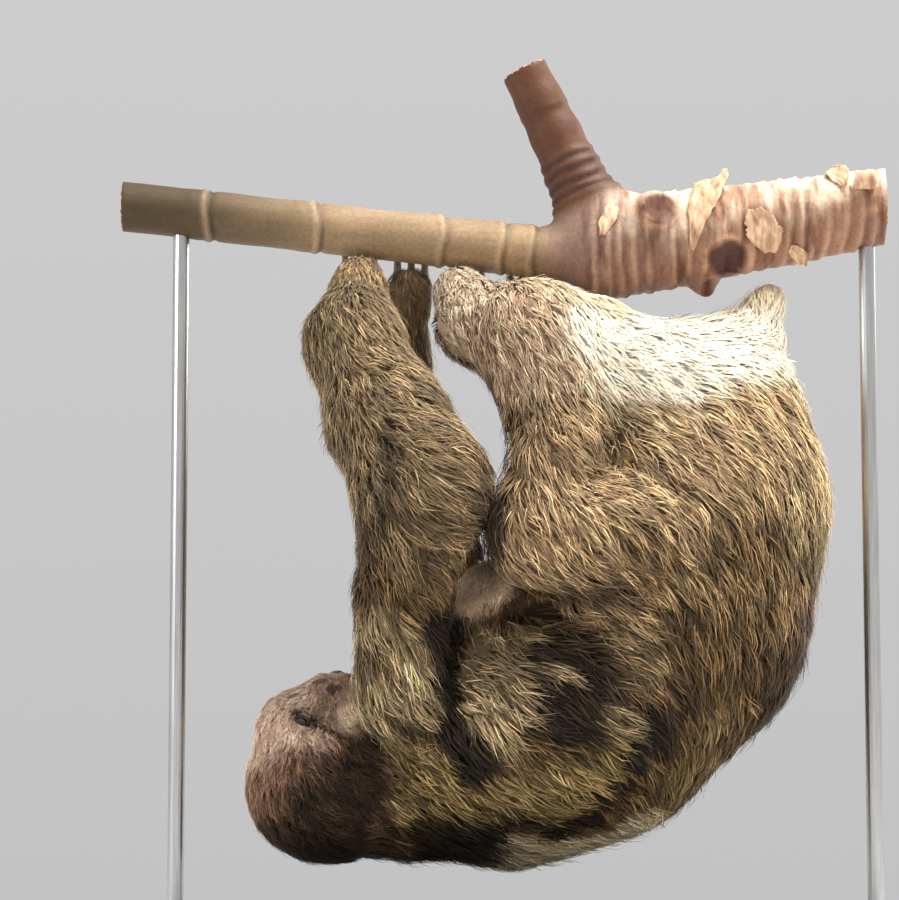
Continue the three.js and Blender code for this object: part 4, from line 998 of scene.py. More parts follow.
            # painted shade on the flanks of each tuft, as if cast by its ridge, and a painted highlight along the
            # ridge
            ramp[:-1] *= np.tile([0.64, 0.64, 1.26], steps)
            ramp[-1] = 1.2
            even = 1 - 0.72 * bright[sel][:, None]
            shade = np.clip(base[sel][:, None, :] * (ramp[None, :] ** even)[:, :, None], 0, 1)
            made.append((sel[ok], VV[ok], SS[ok], tris, uvs, shade[ok], steps))
    print("tufts", [(m[6], len(m[0])) for m in made], "triangles", sum(len(m[0]) * len(m[3]) for m in made))

    # share the tufts out among pieces by body part
    names = dict(trunk="coat_trunk", neck="coat_neck", head="coat_head", tail="coat_tail", armRight="coat_arm_right", armLeft="coat_arm_left",
                 legRight="coat_leg_right", legLeft="coat_leg_left", haunch="coat_haunch")
    pieces = []
    for g, piece in names.items():
        for sel, VV, SS, tris, uvs, shade, steps in made:
            here = label[sel] == GROUPS.index(g)
            if not here.any():
                continue
            ids = np.nonzero(here)[0]
            order = np.argsort(P[sel[ids]][:, 0] - P[sel[ids]][:, 2] * 0.6, kind="stable")
            ids = ids[order]
            most = 190000 // len(tris)
            parts = int(np.ceil(len(ids) / most))
            for k, chunk in enumerate(np.array_split(ids, parts)):
                tag = piece + {2: "_fine", 3: "_short", 4: "_long"}[steps] + (f"_{k + 1}" if parts > 1 else "")
                pieces.append(coat_piece(tag, VV[chunk], SS[chunk], tris, uvs, root_uv[sel[chunk]], shade[chunk], material))
    return pieces


# ------------------------------------------------------------ materials
def tree_of(name):
    mat = bpy.data.materials.new(name)
    mat.use_nodes = True
    nt = mat.node_tree
    return mat, nt, nt.nodes["Principled BSDF"]


def add(nt, kind, **values):
    n = nt.nodes.new(kind)
    for k, v in values.items():
        if k.startswith("in_"):
            key = k[3:]
            n.inputs[int(key) if key.isdigit() else key].default_value = v
        else:
            setattr(n, k, v)
    return n


def texture(nt, kind, scale, detail=2.0, coords=None, stretch=None, **kw):
    tc = coords or add(nt, "ShaderNodeTexCoord").outputs["Object"]
    if stretch:
        mp = add(nt, "ShaderNodeMapping")
        mp.inputs["Scale"].default_value = stretch
        nt.links.new(tc, mp.inputs["Vector"])
        tc = mp.outputs["Vector"]
    t = add(nt, kind, **kw)
    t.inputs["Scale"].default_value = scale
    if "Detail" in t.inputs:
        t.inputs["Detail"].default_value = detail
    nt.links.new(tc, t.inputs["Vector"])
    return t


def ramp(nt, source, stops):
    r = add(nt, "ShaderNodeValToRGB")
    el = r.color_ramp.elements
    while len(el) < len(stops):
        el.new(0.5)
    for e, (pos, c) in zip(el, stops):
        e.position = pos
        e.color = (*c, 1) if len(c) == 3 else c
    nt.links.new(source, r.inputs["Fac"])
    return r.outputs["Color"]


def mixed(nt, kind, fac, a, b):
    m = add(nt, "ShaderNodeMix", data_type="RGBA", blend_type=kind)
    if isinstance(fac, (int, float)):
        m.inputs["Factor"].default_value = fac
    else:
        nt.links.new(fac, m.inputs["Factor"])
    for key, v in (("A", a), ("B", b)):
        sock = [s for s in m.inputs if s.name == key and s.type == "RGBA"][0]
        if isinstance(v, (tuple, list, np.ndarray)):
            sock.default_value = (*[float(x) for x in v[:3]], 1)
        else:
            nt.links.new(v, sock)
    return [s for s in m.outputs if s.type == "RGBA"][0]


def bump(nt, bsdf, height, strength, distance, after=None):
    b = add(nt, "ShaderNodeBump")
    b.inputs["Strength"].default_value = strength
    b.inputs["Distance"].default_value = distance
    nt.links.new(height, b.inputs["Height"])
    if after is not None:
        nt.links.new(after, b.inputs["Normal"])
    nt.links.new(b.outputs["Normal"], bsdf.inputs["Normal"])
    return b.outputs["Normal"]


def grey(v):
    return (v, v, v)


def coat_material(name, gain, rough, fine):
    mat, nt, b = tree_of(name)
    at = add(nt, "ShaderNodeAttribute", attribute_name="Coat")
    n1 = texture(nt, "ShaderNodeTexNoise", fine, 2.0)
    v1 = ramp(nt, n1.outputs["Fac"], [(0.3, grey(0.78 * gain)), (0.7, grey(1.16 * gain))])
    c = mixed(nt, "MULTIPLY", 1.0, at.outputs["Color"], v1)
    nt.links.new(c, b.inputs["Base Color"])
    b.inputs["Roughness"].default_value = rough
    b.inputs["Specular IOR Level"].default_value = 0.16
    b.inputs["Sheen Weight"].default_value = 0.06
    b.inputs["Sheen Roughness"].default_value = 0.5
    return mat, nt, b


def skin_material():
    mat, nt, b = coat_material("skin_under_coat", 0.85, 0.8, 220.0)
    n = texture(nt, "ShaderNodeTexNoise", 900.0, 3.0)
    bump(nt, b, n.outputs["Fac"], 0.5, 0.0012)
    return mat


def fur_material():
    mat, nt, b = coat_material("coat_hair", 1.0, 0.68, 420.0)
    return mat


def set_gloss(b, rough, coat=0.0, coat_rough=0.05, spec=0.5):
    b.inputs["Roughness"].default_value = rough
    b.inputs["Specular IOR Level"].default_value = spec
    b.inputs["Coat Weight"].default_value = coat
    b.inputs["Coat Roughness"].default_value = coat_rough


def eye_material():
    mat, nt, b = tree_of("eye_dark")
    tc = add(nt, "ShaderNodeTexCoord").outputs["Object"]
    sep = add(nt, "ShaderNodeSeparateXYZ")
    nt.links.new(tc, sep.inputs[0])
    n = texture(nt, "ShaderNodeTexNoise", 1400.0, 3.0, coords=tc)
    off = add(nt, "ShaderNodeMath", operation="MULTIPLY_ADD")
    nt.links.new(n.outputs["Fac"], off.inputs[0])
    off.inputs[1].default_value = 0.0006
    nt.links.new(sep.outputs["Z"], off.inputs[2])
    # the eye looks along its own z: pupil, brown iris, dark edge
    k = add(nt, "ShaderNodeMapRange")
    nt.links.new(off.outputs[0], k.inputs["Value"])
    k.inputs["From Min"].default_value = 0.0015
    k.inputs["From Max"].default_value = 0.0061
    c = ramp(nt, k.outputs["Result"], [(0.0, tuple(srgb(150, 122, 104) * 0.5)), (0.18, tuple(srgb(40, 26, 18))), (0.42, tuple(srgb(58, 36, 22))), (0.70, tuple(srgb(72, 46, 28))), (0.80, tuple(srgb(14, 9, 7))), (1.0, tuple(srgb(8, 6, 5)))])
    nt.links.new(c, b.inputs["Base Color"])
    set_gloss(b, 0.12, 1.0, 0.03, 0.6)
    return mat


def lid_material():
    mat, nt, b = tree_of("lid_skin")
    n = texture(nt, "ShaderNodeTexNoise", 700.0, 4.0)
    c = ramp(nt, n.outputs["Fac"], [(0.3, tuple(srgb(30, 22, 18))), (0.7, tuple(srgb(58, 43, 35)))])
    nt.links.new(c, b.inputs["Base Color"])
    set_gloss(b, 0.5, 0.15, 0.3, 0.4)
    w = texture(nt, "ShaderNodeTexNoise", 1800.0, 3.0)
    bump(nt, b, w.outputs["Fac"], 0.5, 0.0006)
    return mat


def nose_material():
    mat, nt, b = tree_of("nose_pad")
    v = texture(nt, "ShaderNodeTexVoronoi", 1100.0)
    n = texture(nt, "ShaderNodeTexNoise", 350.0, 4.0)
    c = ramp(nt, n.outputs["Fac"], [(0.3, tuple(srgb(24, 18, 16))), (0.62, tuple(srgb(52, 38, 33))), (0.8, tuple(srgb(76, 58, 50)))])
    nt.links.new(c, b.inputs["Base Color"])
    set_gloss(b, 0.38, 0.35, 0.25, 0.5)
    bump(nt, b, v.outputs["Distance"], 0.6, 0.0005)
    return mat


def claw_material():
    mat, nt, b = tree_of("claw_horn")
    at = add(nt, "ShaderNodeAttribute", attribute_name="Coat")
    n = texture(nt, "ShaderNodeTexNoise", 160.0, 3.0, stretch=(1.0, 0.35, 0.35))
    f = texture(nt, "ShaderNodeTexNoise", 900.0, 3.0, stretch=(1.0, 0.12, 0.12))
    v = ramp(nt, n.outputs["Fac"], [(0.3, grey(0.66)), (0.7, grey(1.2))])
    c = mixed(nt, "MULTIPLY", 1.0, at.outputs["Color"], v)
    nt.links.new(c, b.inputs["Base Color"])
    set_gloss(b, 0.46, 0.1, 0.3, 0.35)
    bump(nt, b, f.outputs["Fac"], 0.35, 0.0004)
    return mat


def bark_material():
    mat, nt, b = tree_of("bark")
    at = add(nt, "ShaderNodeAttribute", attribute_name="Coat")
    ringy = add(nt, "ShaderNodeAttribute", attribute_name="Rings")
    big = texture(nt, "ShaderNodeTexNoise", 26.0, 4.0)
    streaks = texture(nt, "ShaderNodeTexNoise", 70.0, 3.0, stretch=(0.22, 3.2, 3.2))
    speck = texture(nt, "ShaderNodeTexNoise", 420.0, 4.0)
    rings = texture(nt, "ShaderNodeTexNoise", 34.0, 3.0, stretch=(4.0, 0.8, 0.8))
    pores = texture(nt, "ShaderNodeTexVoronoi", 95.0, stretch=(0.6, 1.0, 1.0))
    v = ramp(nt, big.outputs["Fac"], [(0.28, grey(0.84)), (0.5, grey(1.0)), (0.72, grey(1.14))])
    c = mixed(nt, "MULTIPLY", 1.0, at.outputs["Color"], v)
    c = mixed(nt, "MULTIPLY", 1.0, c, ramp(nt, streaks.outputs["Fac"], [(0.3, grey(0.92)), (0.7, grey(1.06))]))
    c = mixed(nt, "MULTIPLY", 1.0, c, ramp(nt, speck.outputs["Fac"], [(0.35, grey(0.86)), (0.65, grey(1.10))]))
    worn = mixed(nt, "MULTIPLY", 1.0, c, ramp(nt, rings.outputs["Fac"], [(0.34, tuple(srgb(196, 168, 150))), (0.50, grey(1.0)), (0.68, (1.14, 1.11, 1.07))]))
    c = mixed(nt, "MIX", ringy.outputs["Fac"], c, worn)
    p = ramp(nt, pores.outputs["Distance"], [(0.04, grey(0.0)), (0.12, grey(1.0))])
    c = mixed(nt, "MULTIPLY", 0.4, c, mixed(nt, "MIX", p, tuple(srgb(120, 88, 68)), (1.0, 1.0, 1.0)))
    nt.links.new(c, b.inputs["Base Color"])
    set_gloss(b, 0.62, 0.0, 0.1, 0.35)
    s = add(nt, "ShaderNodeMath", operation="MULTIPLY")
    nt.links.new(rings.outputs["Fac"], s.inputs[0])
    nt.links.new(ringy.outputs["Fac"], s.inputs[1])
    first = bump(nt, b, streaks.outputs["Fac"], 0.22, 0.0008)
    second = bump(nt, b, s.outputs[0], 0.55, 0.0022, after=first)
    bump(nt, b, speck.outputs["Fac"], 0.30, 0.0006, after=second)
    return mat


def cut_material():
    mat, nt, b = tree_of("cut_wood")
    tc = add(nt, "ShaderNodeTexCoord").outputs["Object"]
    n = texture(nt, "ShaderNodeTexNoise", 260.0, 5.0, coords=tc)
    g = texture(nt, "ShaderNodeTexNoise", 1200.0, 2.0, coords=tc)
    c = ramp(nt, n.outputs["Fac"], [(0.3, tuple(srgb(176, 140, 98))), (0.7, tuple(srgb(214, 184, 142)))])
    c = mixed(nt, "MULTIPLY", 0.4, c, ramp(nt, g.outputs["Fac"], [(0.35, grey(0.6)), (0.6, grey(1.0))]))
    nt.links.new(c, b.inputs["Base Color"])
    set_gloss(b, 0.8, spec=0.25)
    bump(nt, b, g.outputs["Fac"], 0.4, 0.0006)
    return mat


def flake_material():
    mat, nt, b = tree_of("bark_flake")
    n = texture(nt, "ShaderNodeTexNoise", 90.0, 5.0, stretch=(3.0, 1.0, 1.0))
    c = ramp(nt, n.outputs["Fac"], [(0.3, tuple(srgb(150, 112, 84))), (0.55, tuple(srgb(198, 164, 132))), (0.75, tuple(srgb(222, 196, 166)))])
    nt.links.new(c, b.inputs["Base Color"])
    set_gloss(b, 0.7, spec=0.3)
    bump(nt, b, n.outputs["Fac"], 0.6, 0.0012)
    return mat


def base_material():
    mat, nt, b = tree_of("stand_lacquer")
    n = texture(nt, "ShaderNodeTexNoise", 35.0, 4.0)
    f = texture(nt, "ShaderNodeTexNoise", 1500.0, 2.0)
    c = ramp(nt, n.outputs["Fac"], [(0.3, grey(0.040)), (0.7, grey(0.055))])
    nt.links.new(c, b.inputs["Base Color"])
    r = add(nt, "ShaderNodeMapRange")
    nt.links.new(n.outputs["Fac"], r.inputs["Value"])
    r.inputs["To Min"].default_value = 0.34
    r.inputs["To Max"].default_value = 0.46
    nt.links.new(r.outputs["Result"], b.inputs["Roughness"])
    b.inputs["Coat Weight"].default_value = 0.2
    bump(nt, b, f.outputs["Fac"], 0.15, 0.0002)
    return mat


def rod_material():
    mat, nt, b = tree_of("stand_steel")
    n = texture(nt, "ShaderNodeTexNoise", 400.0, 4.0, stretch=(4.0, 4.0, 0.06))
    c = ramp(nt, n.outputs["Fac"], [(0.3, grey(0.46)), (0.7, grey(0.60))])
    nt.links.new(c, b.inputs["Base Color"])
    b.inputs["Metallic"].default_value = 1.0
    r = add(nt, "ShaderNodeMapRange")
    nt.links.new(n.outputs["Fac"], r.inputs["Value"])
    r.inputs["To Min"].default_value = 0.26
    r.inputs["To Max"].default_value = 0.40
    nt.links.new(r.outputs["Result"], b.inputs["Roughness"])
    bump(nt, b, n.outputs["Fac"], 0.12, 0.0002)
    return mat


# ------------------------------------------------------------ eyes, lids, nose, claws
def head_to_world(H):
    return HC + H @ HEAD_AXES


def build_eye(name, material):
    c, gaze = FACE_HEAD[name]
    centre = head_to_world(c[None])[0]
    g = unit(gaze @ HEAD_AXES)
    rows, cols = 36, 48
    V, F = [], []
    # a ball with a clear-domed front, its z axis along the gaze
    z_axis = Vector(g)
    rot = z_axis.to_track_quat("Z", "Y").to_matrix()
    for i in range(1, rows):
        a = math.pi * i / rows
        r = EYE_R * (1 + 0.035 * math.exp(-(a / 0.55) ** 2))
        for j in range(cols):
            b = 2 * math.pi * j / cols
            V.append((r * math.sin(a) * math.cos(b), r * math.sin(a) * math.sin(b), r * math.cos(a)))
    V += [(0, 0, EYE_R * 1.035), (0, 0, -EYE_R)]
    top, bottom = len(V) - 2, len(V) - 1
    for i in range(rows - 2):
        for j in range(cols):
            a, b = i * cols + j, i * cols + (j + 1) % cols
            F.append((a, a + cols, b + cols, b))
    for j in range(cols):
        F.append((top, j, (j + 1) % cols))
        e = (rows - 2) * cols
        F.append((bottom, e + (j + 1) % cols, e + j))
    ob = make_mesh(name + "_ball", V, F)
    ob.rotation_euler = rot.to_euler()
    ob.location = Vector(centre * MM)
    bpy.context.view_layer.update()
    ob.data.materials.append(material)
    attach(ob, "root")
    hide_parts(name)
    return ob


def build_lids(name, material):
    """A closed ring of lid skin that lies on the eyeball round an almond opening."""
    c, g = FACE_HEAD[name]
    u, v = EYE_AXES[name]
    n, prof = 56, 9
    rings = []
    for i in range(n):
        th = 2 * math.pi * i / n
        cu, cv = math.cos(th), math.sin(th)
        # half opening of the almond, as an angle from the gaze
        wide, high = SLIT[0] + 0.08, SLIT[1] + (0.03 if cv > 0 else -0.03)
        e = (abs(cu) / wide) ** 1.7 + (abs(cv) / high) ** 1.7
        phi_in = e ** (-1 / 1.7)
        phi_out = min(phi_in + 0.42, 1.45)
        ring = []
        for k in range(prof):
            t = k / (prof - 1)
            phi = phi_in + (phi_out - phi_in) * t
            r = EYE_R + 0.28 + 0.95 * math.sin(min(1, t * 1.25) * math.pi) ** 0.8 + 0.12 * math.sin(th * 3 + t * 9) * t * (1 - t)
            d = g * math.cos(phi) + (u * cu + v * cv) * math.sin(phi)
            ring.append(c + d * r)
        for k in (prof - 1, 0):
            t = k / (prof - 1)
            phi = phi_in + (phi_out - phi_in) * t
            d = g * math.cos(phi) + (u * cu + v * cv) * math.sin(phi)
            ring.append(c + d * (EYE_R - 0.25 if k else EYE_R + 0.02))
        rings.append(ring)
    m = len(rings[0])
    V = head_to_world(np.array(rings).reshape(-1, 3))
    F = []
    for i in range(n):
        a, b = i * m, ((i + 1) % n) * m
        for k in range(m):
            q = (k + 1) % m
            F.append((a + k, b + k, b + q, a + q))
    ob = make_mesh(name + "_lids", V, F)
    bm = bmesh.new()
    bm.from_mesh(ob.data)
    bmesh.ops.recalc_face_normals(bm, faces=bm.faces[:])
    bm.to_mesh(ob.data)
    bm.free()
    ob.data.polygons.foreach_set("use_smooth", np.ones(len(ob.data.polygons), bool))
    sub = ob.modifiers.new("sub", "SUBSURF")
    sub.levels = sub.render_levels = 1
    ob.data.materials.append(material)
    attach(ob, "root")
    return ob


def build_nose(material):
    rows, cols = 72, 96
    R = np.array([6.6, 8.6, 5.0])
    V, F = [], []
    f, d, s = HEAD_AXES
    for i in range(1, rows):
        a = math.pi * i / rows
        for j in range(cols):
            b = 2 * math.pi * j / cols
            V.append((math.sin(a) * math.cos(b), math.sin(a) * math.sin(b), math.cos(a)))
    V += [(0, 0, 1), (0, 0, -1)]
    V = np.array(V)
    # local x up the face, y across it, z out of it
    x, y, z = V.T
    k = np.ones(len(V))
    for sy in (-1, 1):
        q = np.sqrt(((x + 0.10 - 0.12 * np.abs(y)) / 0.22) ** 2 + ((y - 0.44 * sy) / 0.17) ** 2)
        k -= 0.42 * np.exp(-q ** 2 * 1.4) * (z > 0)
        slit = np.sqrt(((x + 0.05) / 0.12) ** 2 + ((y - 0.70 * sy) / 0.22) ** 2)
        k -= 0.12 * np.exp(-slit ** 2) * (z > 0)
    k -= 0.10 * np.exp(-(y / 0.07) ** 2) * np.clip(-x + 0.2, 0, 1) * (z > 0)
    k += 0.015 * noise(V * 10, 1.3, 31) + 0.02 * noise(V * 10, 3.0, 32)
    local = V * k[:, None] * [R[0], R[1], R[2]]
    up = unit(d - f * (d @ f))
    out = unit(f)
    across = unit(np.cross(out, up))
    P = NOSE_C + local[:, :1] * up + local[:, 1:2] * across + local[:, 2:] * out
    n = len(V)
    for i in range(rows - 2):
        for j in range(cols):
            a, b = i * cols + j, i * cols + (j + 1) % cols
            F.append((a, a + cols, b + cols, b))
    for j in range(cols):
        F.append((n - 2, j, (j + 1) % cols))
        e = (rows - 2) * cols
        F.append((n - 1, e + (j + 1) % cols, e + j))
    ob = make_mesh("nose_pad", P, F)
    fix_normals(ob)
    ob.data.materials.append(material)
    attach(ob, "root")
    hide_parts("nose")
    return ob


def fix_normals(ob):
    bm = bmesh.new()
    bm.from_mesh(ob.data)
    bmesh.ops.recalc_face_normals(bm, faces=bm.faces[:])
    bm.to_mesh(ob.data)
    bm.free()
    ob.data.polygons.foreach_set("use_smooth", np.ones(len(ob.data.polygons), bool))


def colour_attribute(ob, colours):
    col = np.ones((len(ob.data.vertices), 4), np.float32)
    col[:, :3] = colours
    at = ob.data.attributes.new("Coat", "FLOAT_COLOR", "POINT")
    at.data.foreach_set("color", col.ravel())


CLAW_SETS = dict(hand_right=(-97, 9.5, -1.5, -112), hand_left=(-63, 9, 0.5, -74), foot_right=(-25, 9.5, -0.5, -112), foot_left=(13, 9, 0.0, -74))


def build_claw(name, x, lean, start, material):
    steps, sides = 30, 16
    t = np.linspace(0, 1, steps + 1)
    angle = np.radians(start + (54 - start) * t)
    z, r = branch_at(x + lean * t)
    thick = 4.0 * (1 - t) ** 0.7
    radius = r + 3.0 + np.maximum(thick, 0.5) + 2.2 * (1 - t) ** 3
    width = 3.1 * (1 - t) ** 0.6
    C = np.stack([x + lean * t, np.cos(angle) * radius, z + np.sin(angle) * radius], 1)
    tan = unit(np.gradient(C, axis=0))
    side = np.array([1.0, 0, 0]) - tan * tan[:, :1]
    side = unit(side)
    out = np.cross(tan, side)
    outward = C - np.stack([C[:, 0], np.zeros(steps + 1), z], 1)
    flip = np.sign((out * outward).sum(1))[:, None]
    out = out * flip
    V, col = [], []
    horn, dark, tip = srgb(158, 132, 92), srgb(92, 70, 48), srgb(126, 100, 66)
    for i in range(steps):
        th, wd = max(thick[i], 0.55) * 0.97, max(width[i], 0.5) * 0.97
        for j in range(sides):
            b = 2 * math.pi * j / sides
            cx, cy = math.cos(b), math.sin(b)
            inner = 0.72 if cy < 0 else 1.0  # the inside of the hook is flatter, with a keel
            V.append(C[i] + side[i] * wd * cx * (1 - 0.12 * abs(cy)) + out[i] * th * cy * inner)
            shade = horn * (1 - t[i]) + tip * t[i]
            shade = shade + (dark - shade) * (0.55 * math.exp(-((t[i]) / 0.10) ** 2) + 0.35 * math.exp(-((cy + 1) / 0.5) ** 2))
            col.append(shade)
    V.append(C[-1])
    col.append(tip * 0.8)
    V.append(C[0])
    col.append(dark)
    F = []
    for i in range(steps - 1):
        for j in range(sides):
            a, b = i * sides + j, i * sides + (j + 1) % sides
            F.append((a, b, b + sides, a + sides))
    e = (steps - 1) * sides
    for j in range(sides):
        F.append((e + j, e + (j + 1) % sides, len(V) - 2))
        F.append(((j + 1) % sides, j, len(V) - 1))
    ob = make_mesh(name + "_horn", np.array(V), F)
    fix_normals(ob)
    colour_attribute(ob, np.array(col))
    ob.data.materials.append(material)
    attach(ob, "root")
    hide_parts(name)
    return ob


# ------------------------------------------------------------ branch
RING_SCARS = [-200, -127, -43, -3, 17, 196]
STUB = [(66, 0, 474, 26), (57, 0, 498, 22), (46, 0, 522, 18.5), (34.5, 0, 547.5, 17), (24, 0, 570, 16), (10.8, 0, 597.5, 15.8)]
KNOT = [(96, -14, 482, 20), (99, -27, 489, 13.5), (100, -31, 490, 9)]
SPUR = [(128, 10, 470, 16), (134, 12, 449, 8), (136, 12, 444, 5)]


def chain(P, points, k):
    d = None
    for a, b in zip(points, points[1:]):
        e = round_cone(P, a, b)
        d = e if d is None else soft_min(d, e, k)
    return d


def branch_plain(P):
    z, r = branch_at(P[:, 0])
    main = np.hypot(P[:, 1], P[:, 2] - z) - r
    top = (P[:, 0] - 13.5) * -0.431 + (P[:, 2] - 591.7) * 0.902
    d = soft_min(main, np.maximum(chain(P, STUB, 4), top), 16)
    d = soft_min(d, chain(P, KNOT, 4), 9)
    d = soft_min(d, chain(P, SPUR, 4), 8)
    d = np.maximum(d, -256.9 - P[:, 0])
    return np.maximum(d, P[:, 0] - 254.9)


NEAR_SCARS = ((148, 459, 10.5), (102, 490, 10.0))
FOLDS = (60, 69, 77, 86, 95, 112, 121, 131, 142, 155, 164, 176, 187, 205, 214, 226, 237, 247)


def branch_field(P):
    P = np.asarray(P, float)
    d = branch_plain(P)
    x = P[:, 0]
    z, r = branch_at(x)
    main = np.hypot(P[:, 1], P[:, 2] - z) - r
    on_main = step(6, 0, main)
    a = np.arctan2(P[:, 2] - z, P[:, 1])
    wob = 1.6 * np.sin(a * 2 + x * 0.02) + 1.0 * noise(np.stack([x, 9 * np.cos(a), 9 * np.sin(a)], 1), 14, 41)
    lift = np.zeros(len(P))
    for s in RING_SCARS:
        q = x + wob - s
        lift += 1.5 * np.exp(-(q / 2.0) ** 2) - 1.0 * np.exp(-((q - 4.2) / 1.6) ** 2) + 0.5 * np.exp(-((q + 8) / 5.0) ** 2)
    # closer, coarser rings and folds on the thick end, fading out and wandering round it
    thick = step(40, 60, x)
    for n, s in enumerate(FOLDS):
        q = x + 2.6 * wob + 1.5 * np.sin(a * 3 + n) - s
        part = 0.45 + 0.55 * step(-0.3, 0.5, np.sin(a * (1 + n % 2) + n * 2.1))
        lift += thick * part * (1.15 * np.exp(-(q / 1.7) ** 2) - 0.75 * np.exp(-((q - 3.2) / 1.6) ** 2))
    lift += on_main * (0.35 * noise(P, 26, 42) + (0.15 + 0.7 * thick) * noise(P, 9, 43) + 0.3 * thick * noise(P, 4.5, 45))
    lift *= on_main
    # the side branch and its collar of cracks
    sx, sz = P[:, 0] - 66, P[:, 2] - 474
    along = sx * -0.40 + sz * 0.917
    off = step(8, 2, chain(P, STUB, 4)) * step(20, 34, along)
    for s in (30, 37, 44, 52, 60, 96):
        lift += off * (1.2 if s < 61 else 0.7) * np.exp(-((along + 1.4 * wob + 1.5 * noise(P, 12, 46) - s) / 2.2) ** 2)
    lift += off * 0.35 * noise(P, 11, 44)
    # dark scar: a rimmed hollow on the near face
    for cx, cz, rr in NEAR_SCARS:
        q = np.sqrt(((P[:, 0] - cx) / 1.2) ** 2 + (P[:, 2] - cz) ** 2) / rr
        near = (P[:, 1] < -5)
        lift += near * (1.8 * np.exp(-((q - 1.05) / 0.25) ** 2) - 2.6 * np.exp(-(q / 0.62) ** 2) + 0.9 * noise(P, 4.0, 47) * np.exp(-(q / 0.9) ** 2))
    return d - lift


def bark_colour(P):
    """Bark colour and how ringed and worn it is, at each point."""
    x = P[:, 0] + 10 * noise(P, 30, 51)
    z, r = branch_at(P[:, 0])
    a = np.arctan2(P[:, 2] - z, P[:, 1])
    up = np.sin(a) + 0.45 * noise(P, 16, 52) + 0.2 * noise(P, 6, 53)
    # the thin end's dark brown is partly the bark's own colour and partly painted shade, as if a leaf hung over it
    thin_and_shaded, mid = srgb(68, 52, 28), srgb(148, 124, 94)
    w1, w2, w3 = step(-230, -60, x)[:, None], step(12, 50, x)[:, None], step(96, 150, x)[:, None]
    c = thin_and_shaded + (mid - thin_and_shaded) * w1
    c = c + (srgb(134, 106, 94) - c) * w2
    c = c + (srgb(144, 106, 82) - c) * w3
    # painted light: the upper side of the thick end paler, as if lit from above
    painted_light_top = (step(-0.45, 0.7, up) * step(52, 100, P[:, 0]) * 0.64)[:, None]
    c = c + (srgb(236, 216, 194) - c) * painted_light_top
    # painted shade: the underside of the thick end darker and redder
    painted_shade_under = (step(0.1, -0.8, up) * step(30, 70, P[:, 0]) * 0.6)[:, None]
    c = c + (srgb(122, 78, 60) - c) * painted_shade_under
    wob = 1.6 * np.sin(a * 2 + P[:, 0] * 0.02)
    for s in RING_SCARS + list(FOLDS):
        q = P[:, 0] + wob - s
        dark = 0.42 if s in RING_SCARS else 0.26
        c = c * (1 - dark * np.exp(-((q - 3.2) / 1.7) ** 2))[:, None]
        c = c + (srgb(206, 176, 144) - c) * (0.30 * np.exp(-(q / 2.0) ** 2))[:, None]
    along = (P[:, 0] - 66) * -0.40 + (P[:, 2] - 474) * 0.917
    off = step(9, 2, chain(P, STUB, 4)) * step(18, 34, along)
    c = c + (srgb(84, 48, 20) - c) * off[:, None]
    crack = np.zeros(len(P))
    for s in (33.5, 40.5, 48, 56):
        crack = np.maximum(crack, np.exp(-((along + 2.2 * wob + 1.5 * noise(P, 12, 46) - s) / 1.6) ** 2))
    c = c * (1 - 0.5 * off * crack)[:, None]
    for k, (cx, cz, rr) in enumerate(NEAR_SCARS):
        q = np.sqrt(((P[:, 0] - cx) / 1.2) ** 2 + (P[:, 2] - cz) ** 2) / rr
        near = (P[:, 1] < -5)
        inner = (srgb(62, 34, 28), srgb(104, 66, 50))[k]
        c = c + (inner - c) * (near * 0.95 * step(1.15, 0.75, q + 0.18 * noise(P, 5, 54)))[:, None]
        c = c + (srgb(196, 150, 118) - c) * (near * 0.45 * np.exp(-((q - 1.25) / 0.16) ** 2))[:, None]
    worn = np.clip(0.06 + 0.94 * step(34, 66, P[:, 0]) * (1 - 0.75 * off), 0, 1)
    return np.clip(c, 0.01, 1), worn


def build_branch(material, cut):
    cell = 1.9
    lo, hi = np.array([-263.0, -48, 426]), np.array([261.0, 48, 602])
    cells = np.ceil((hi - lo) / (cell * 4)).astype(int)
    V, Q = marched_surface(branch_field, lo, cells, cell, -14.0, 14.0, branch_plain)
    V = settle(branch_field, V, 3, 1.0)
    ob = make_mesh("branch_bark", V, Q)
    fix_normals(ob)
    shade, worn = bark_colour(V)
    colour_attribute(ob, shade)
    at = ob.data.attributes.new("Rings", "FLOAT", "POINT")
    at.data.foreach_set("value", worn.astype(np.float32))
    ob.data.materials.append(material)
    ob.data.materials.append(cut)
    n = len(ob.data.polygons)
    mid = V[Q].mean(1)
    top = (mid[:, 0] - 13.5) * -0.431 + (mid[:, 2] - 591.7) * 0.902
    ends = (mid[:, 0] < -256.4) | (mid[:, 0] > 254.4) | ((top > -0.5) & (mid[:, 2] > 570))
    ob.data.polygons.foreach_set("material_index", ends.astype(np.int32))
    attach(ob, "root")
    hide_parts("perch_branch")
    return ob


def sheet_piece(name, grid, thick, material):
    """A thin closed sheet from a grid of points, half the thickness to each side."""
    nv, nu = grid.shape[:2]
    du, dv = np.gradient(grid, axis=1), np.gradient(grid, axis=0)
    out = unit(np.cross(du, dv))
    V = np.concatenate([(grid + out * thick * 0.5).reshape(-1, 3), (grid - out * thick * 0.5).reshape(-1, 3)])
    n = nu * nv
    F = []
    for j in range(nv - 1):
        for i in range(nu - 1):
            a = j * nu + i
            F.append((a, a + 1, a + nu + 1, a + nu))
            F.append((n + a, n + a + nu, n + a + nu + 1, n + a + 1))
    rim = list(range(nu)) + [j * nu + nu - 1 for j in range(1, nv)] + [(nv - 1) * nu + i for i in range(nu - 2, -1, -1)] + [j * nu for j in range(nv - 2, 0, -1)]
    for a, b in zip(rim, rim[1:] + rim[:1]):
        F.append((a, b, n + b, n + a))
    ob = make_mesh(name, V, F)
    fix_normals(ob)
    ob.data.materials.append(material)
    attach(ob, "root")
    return ob


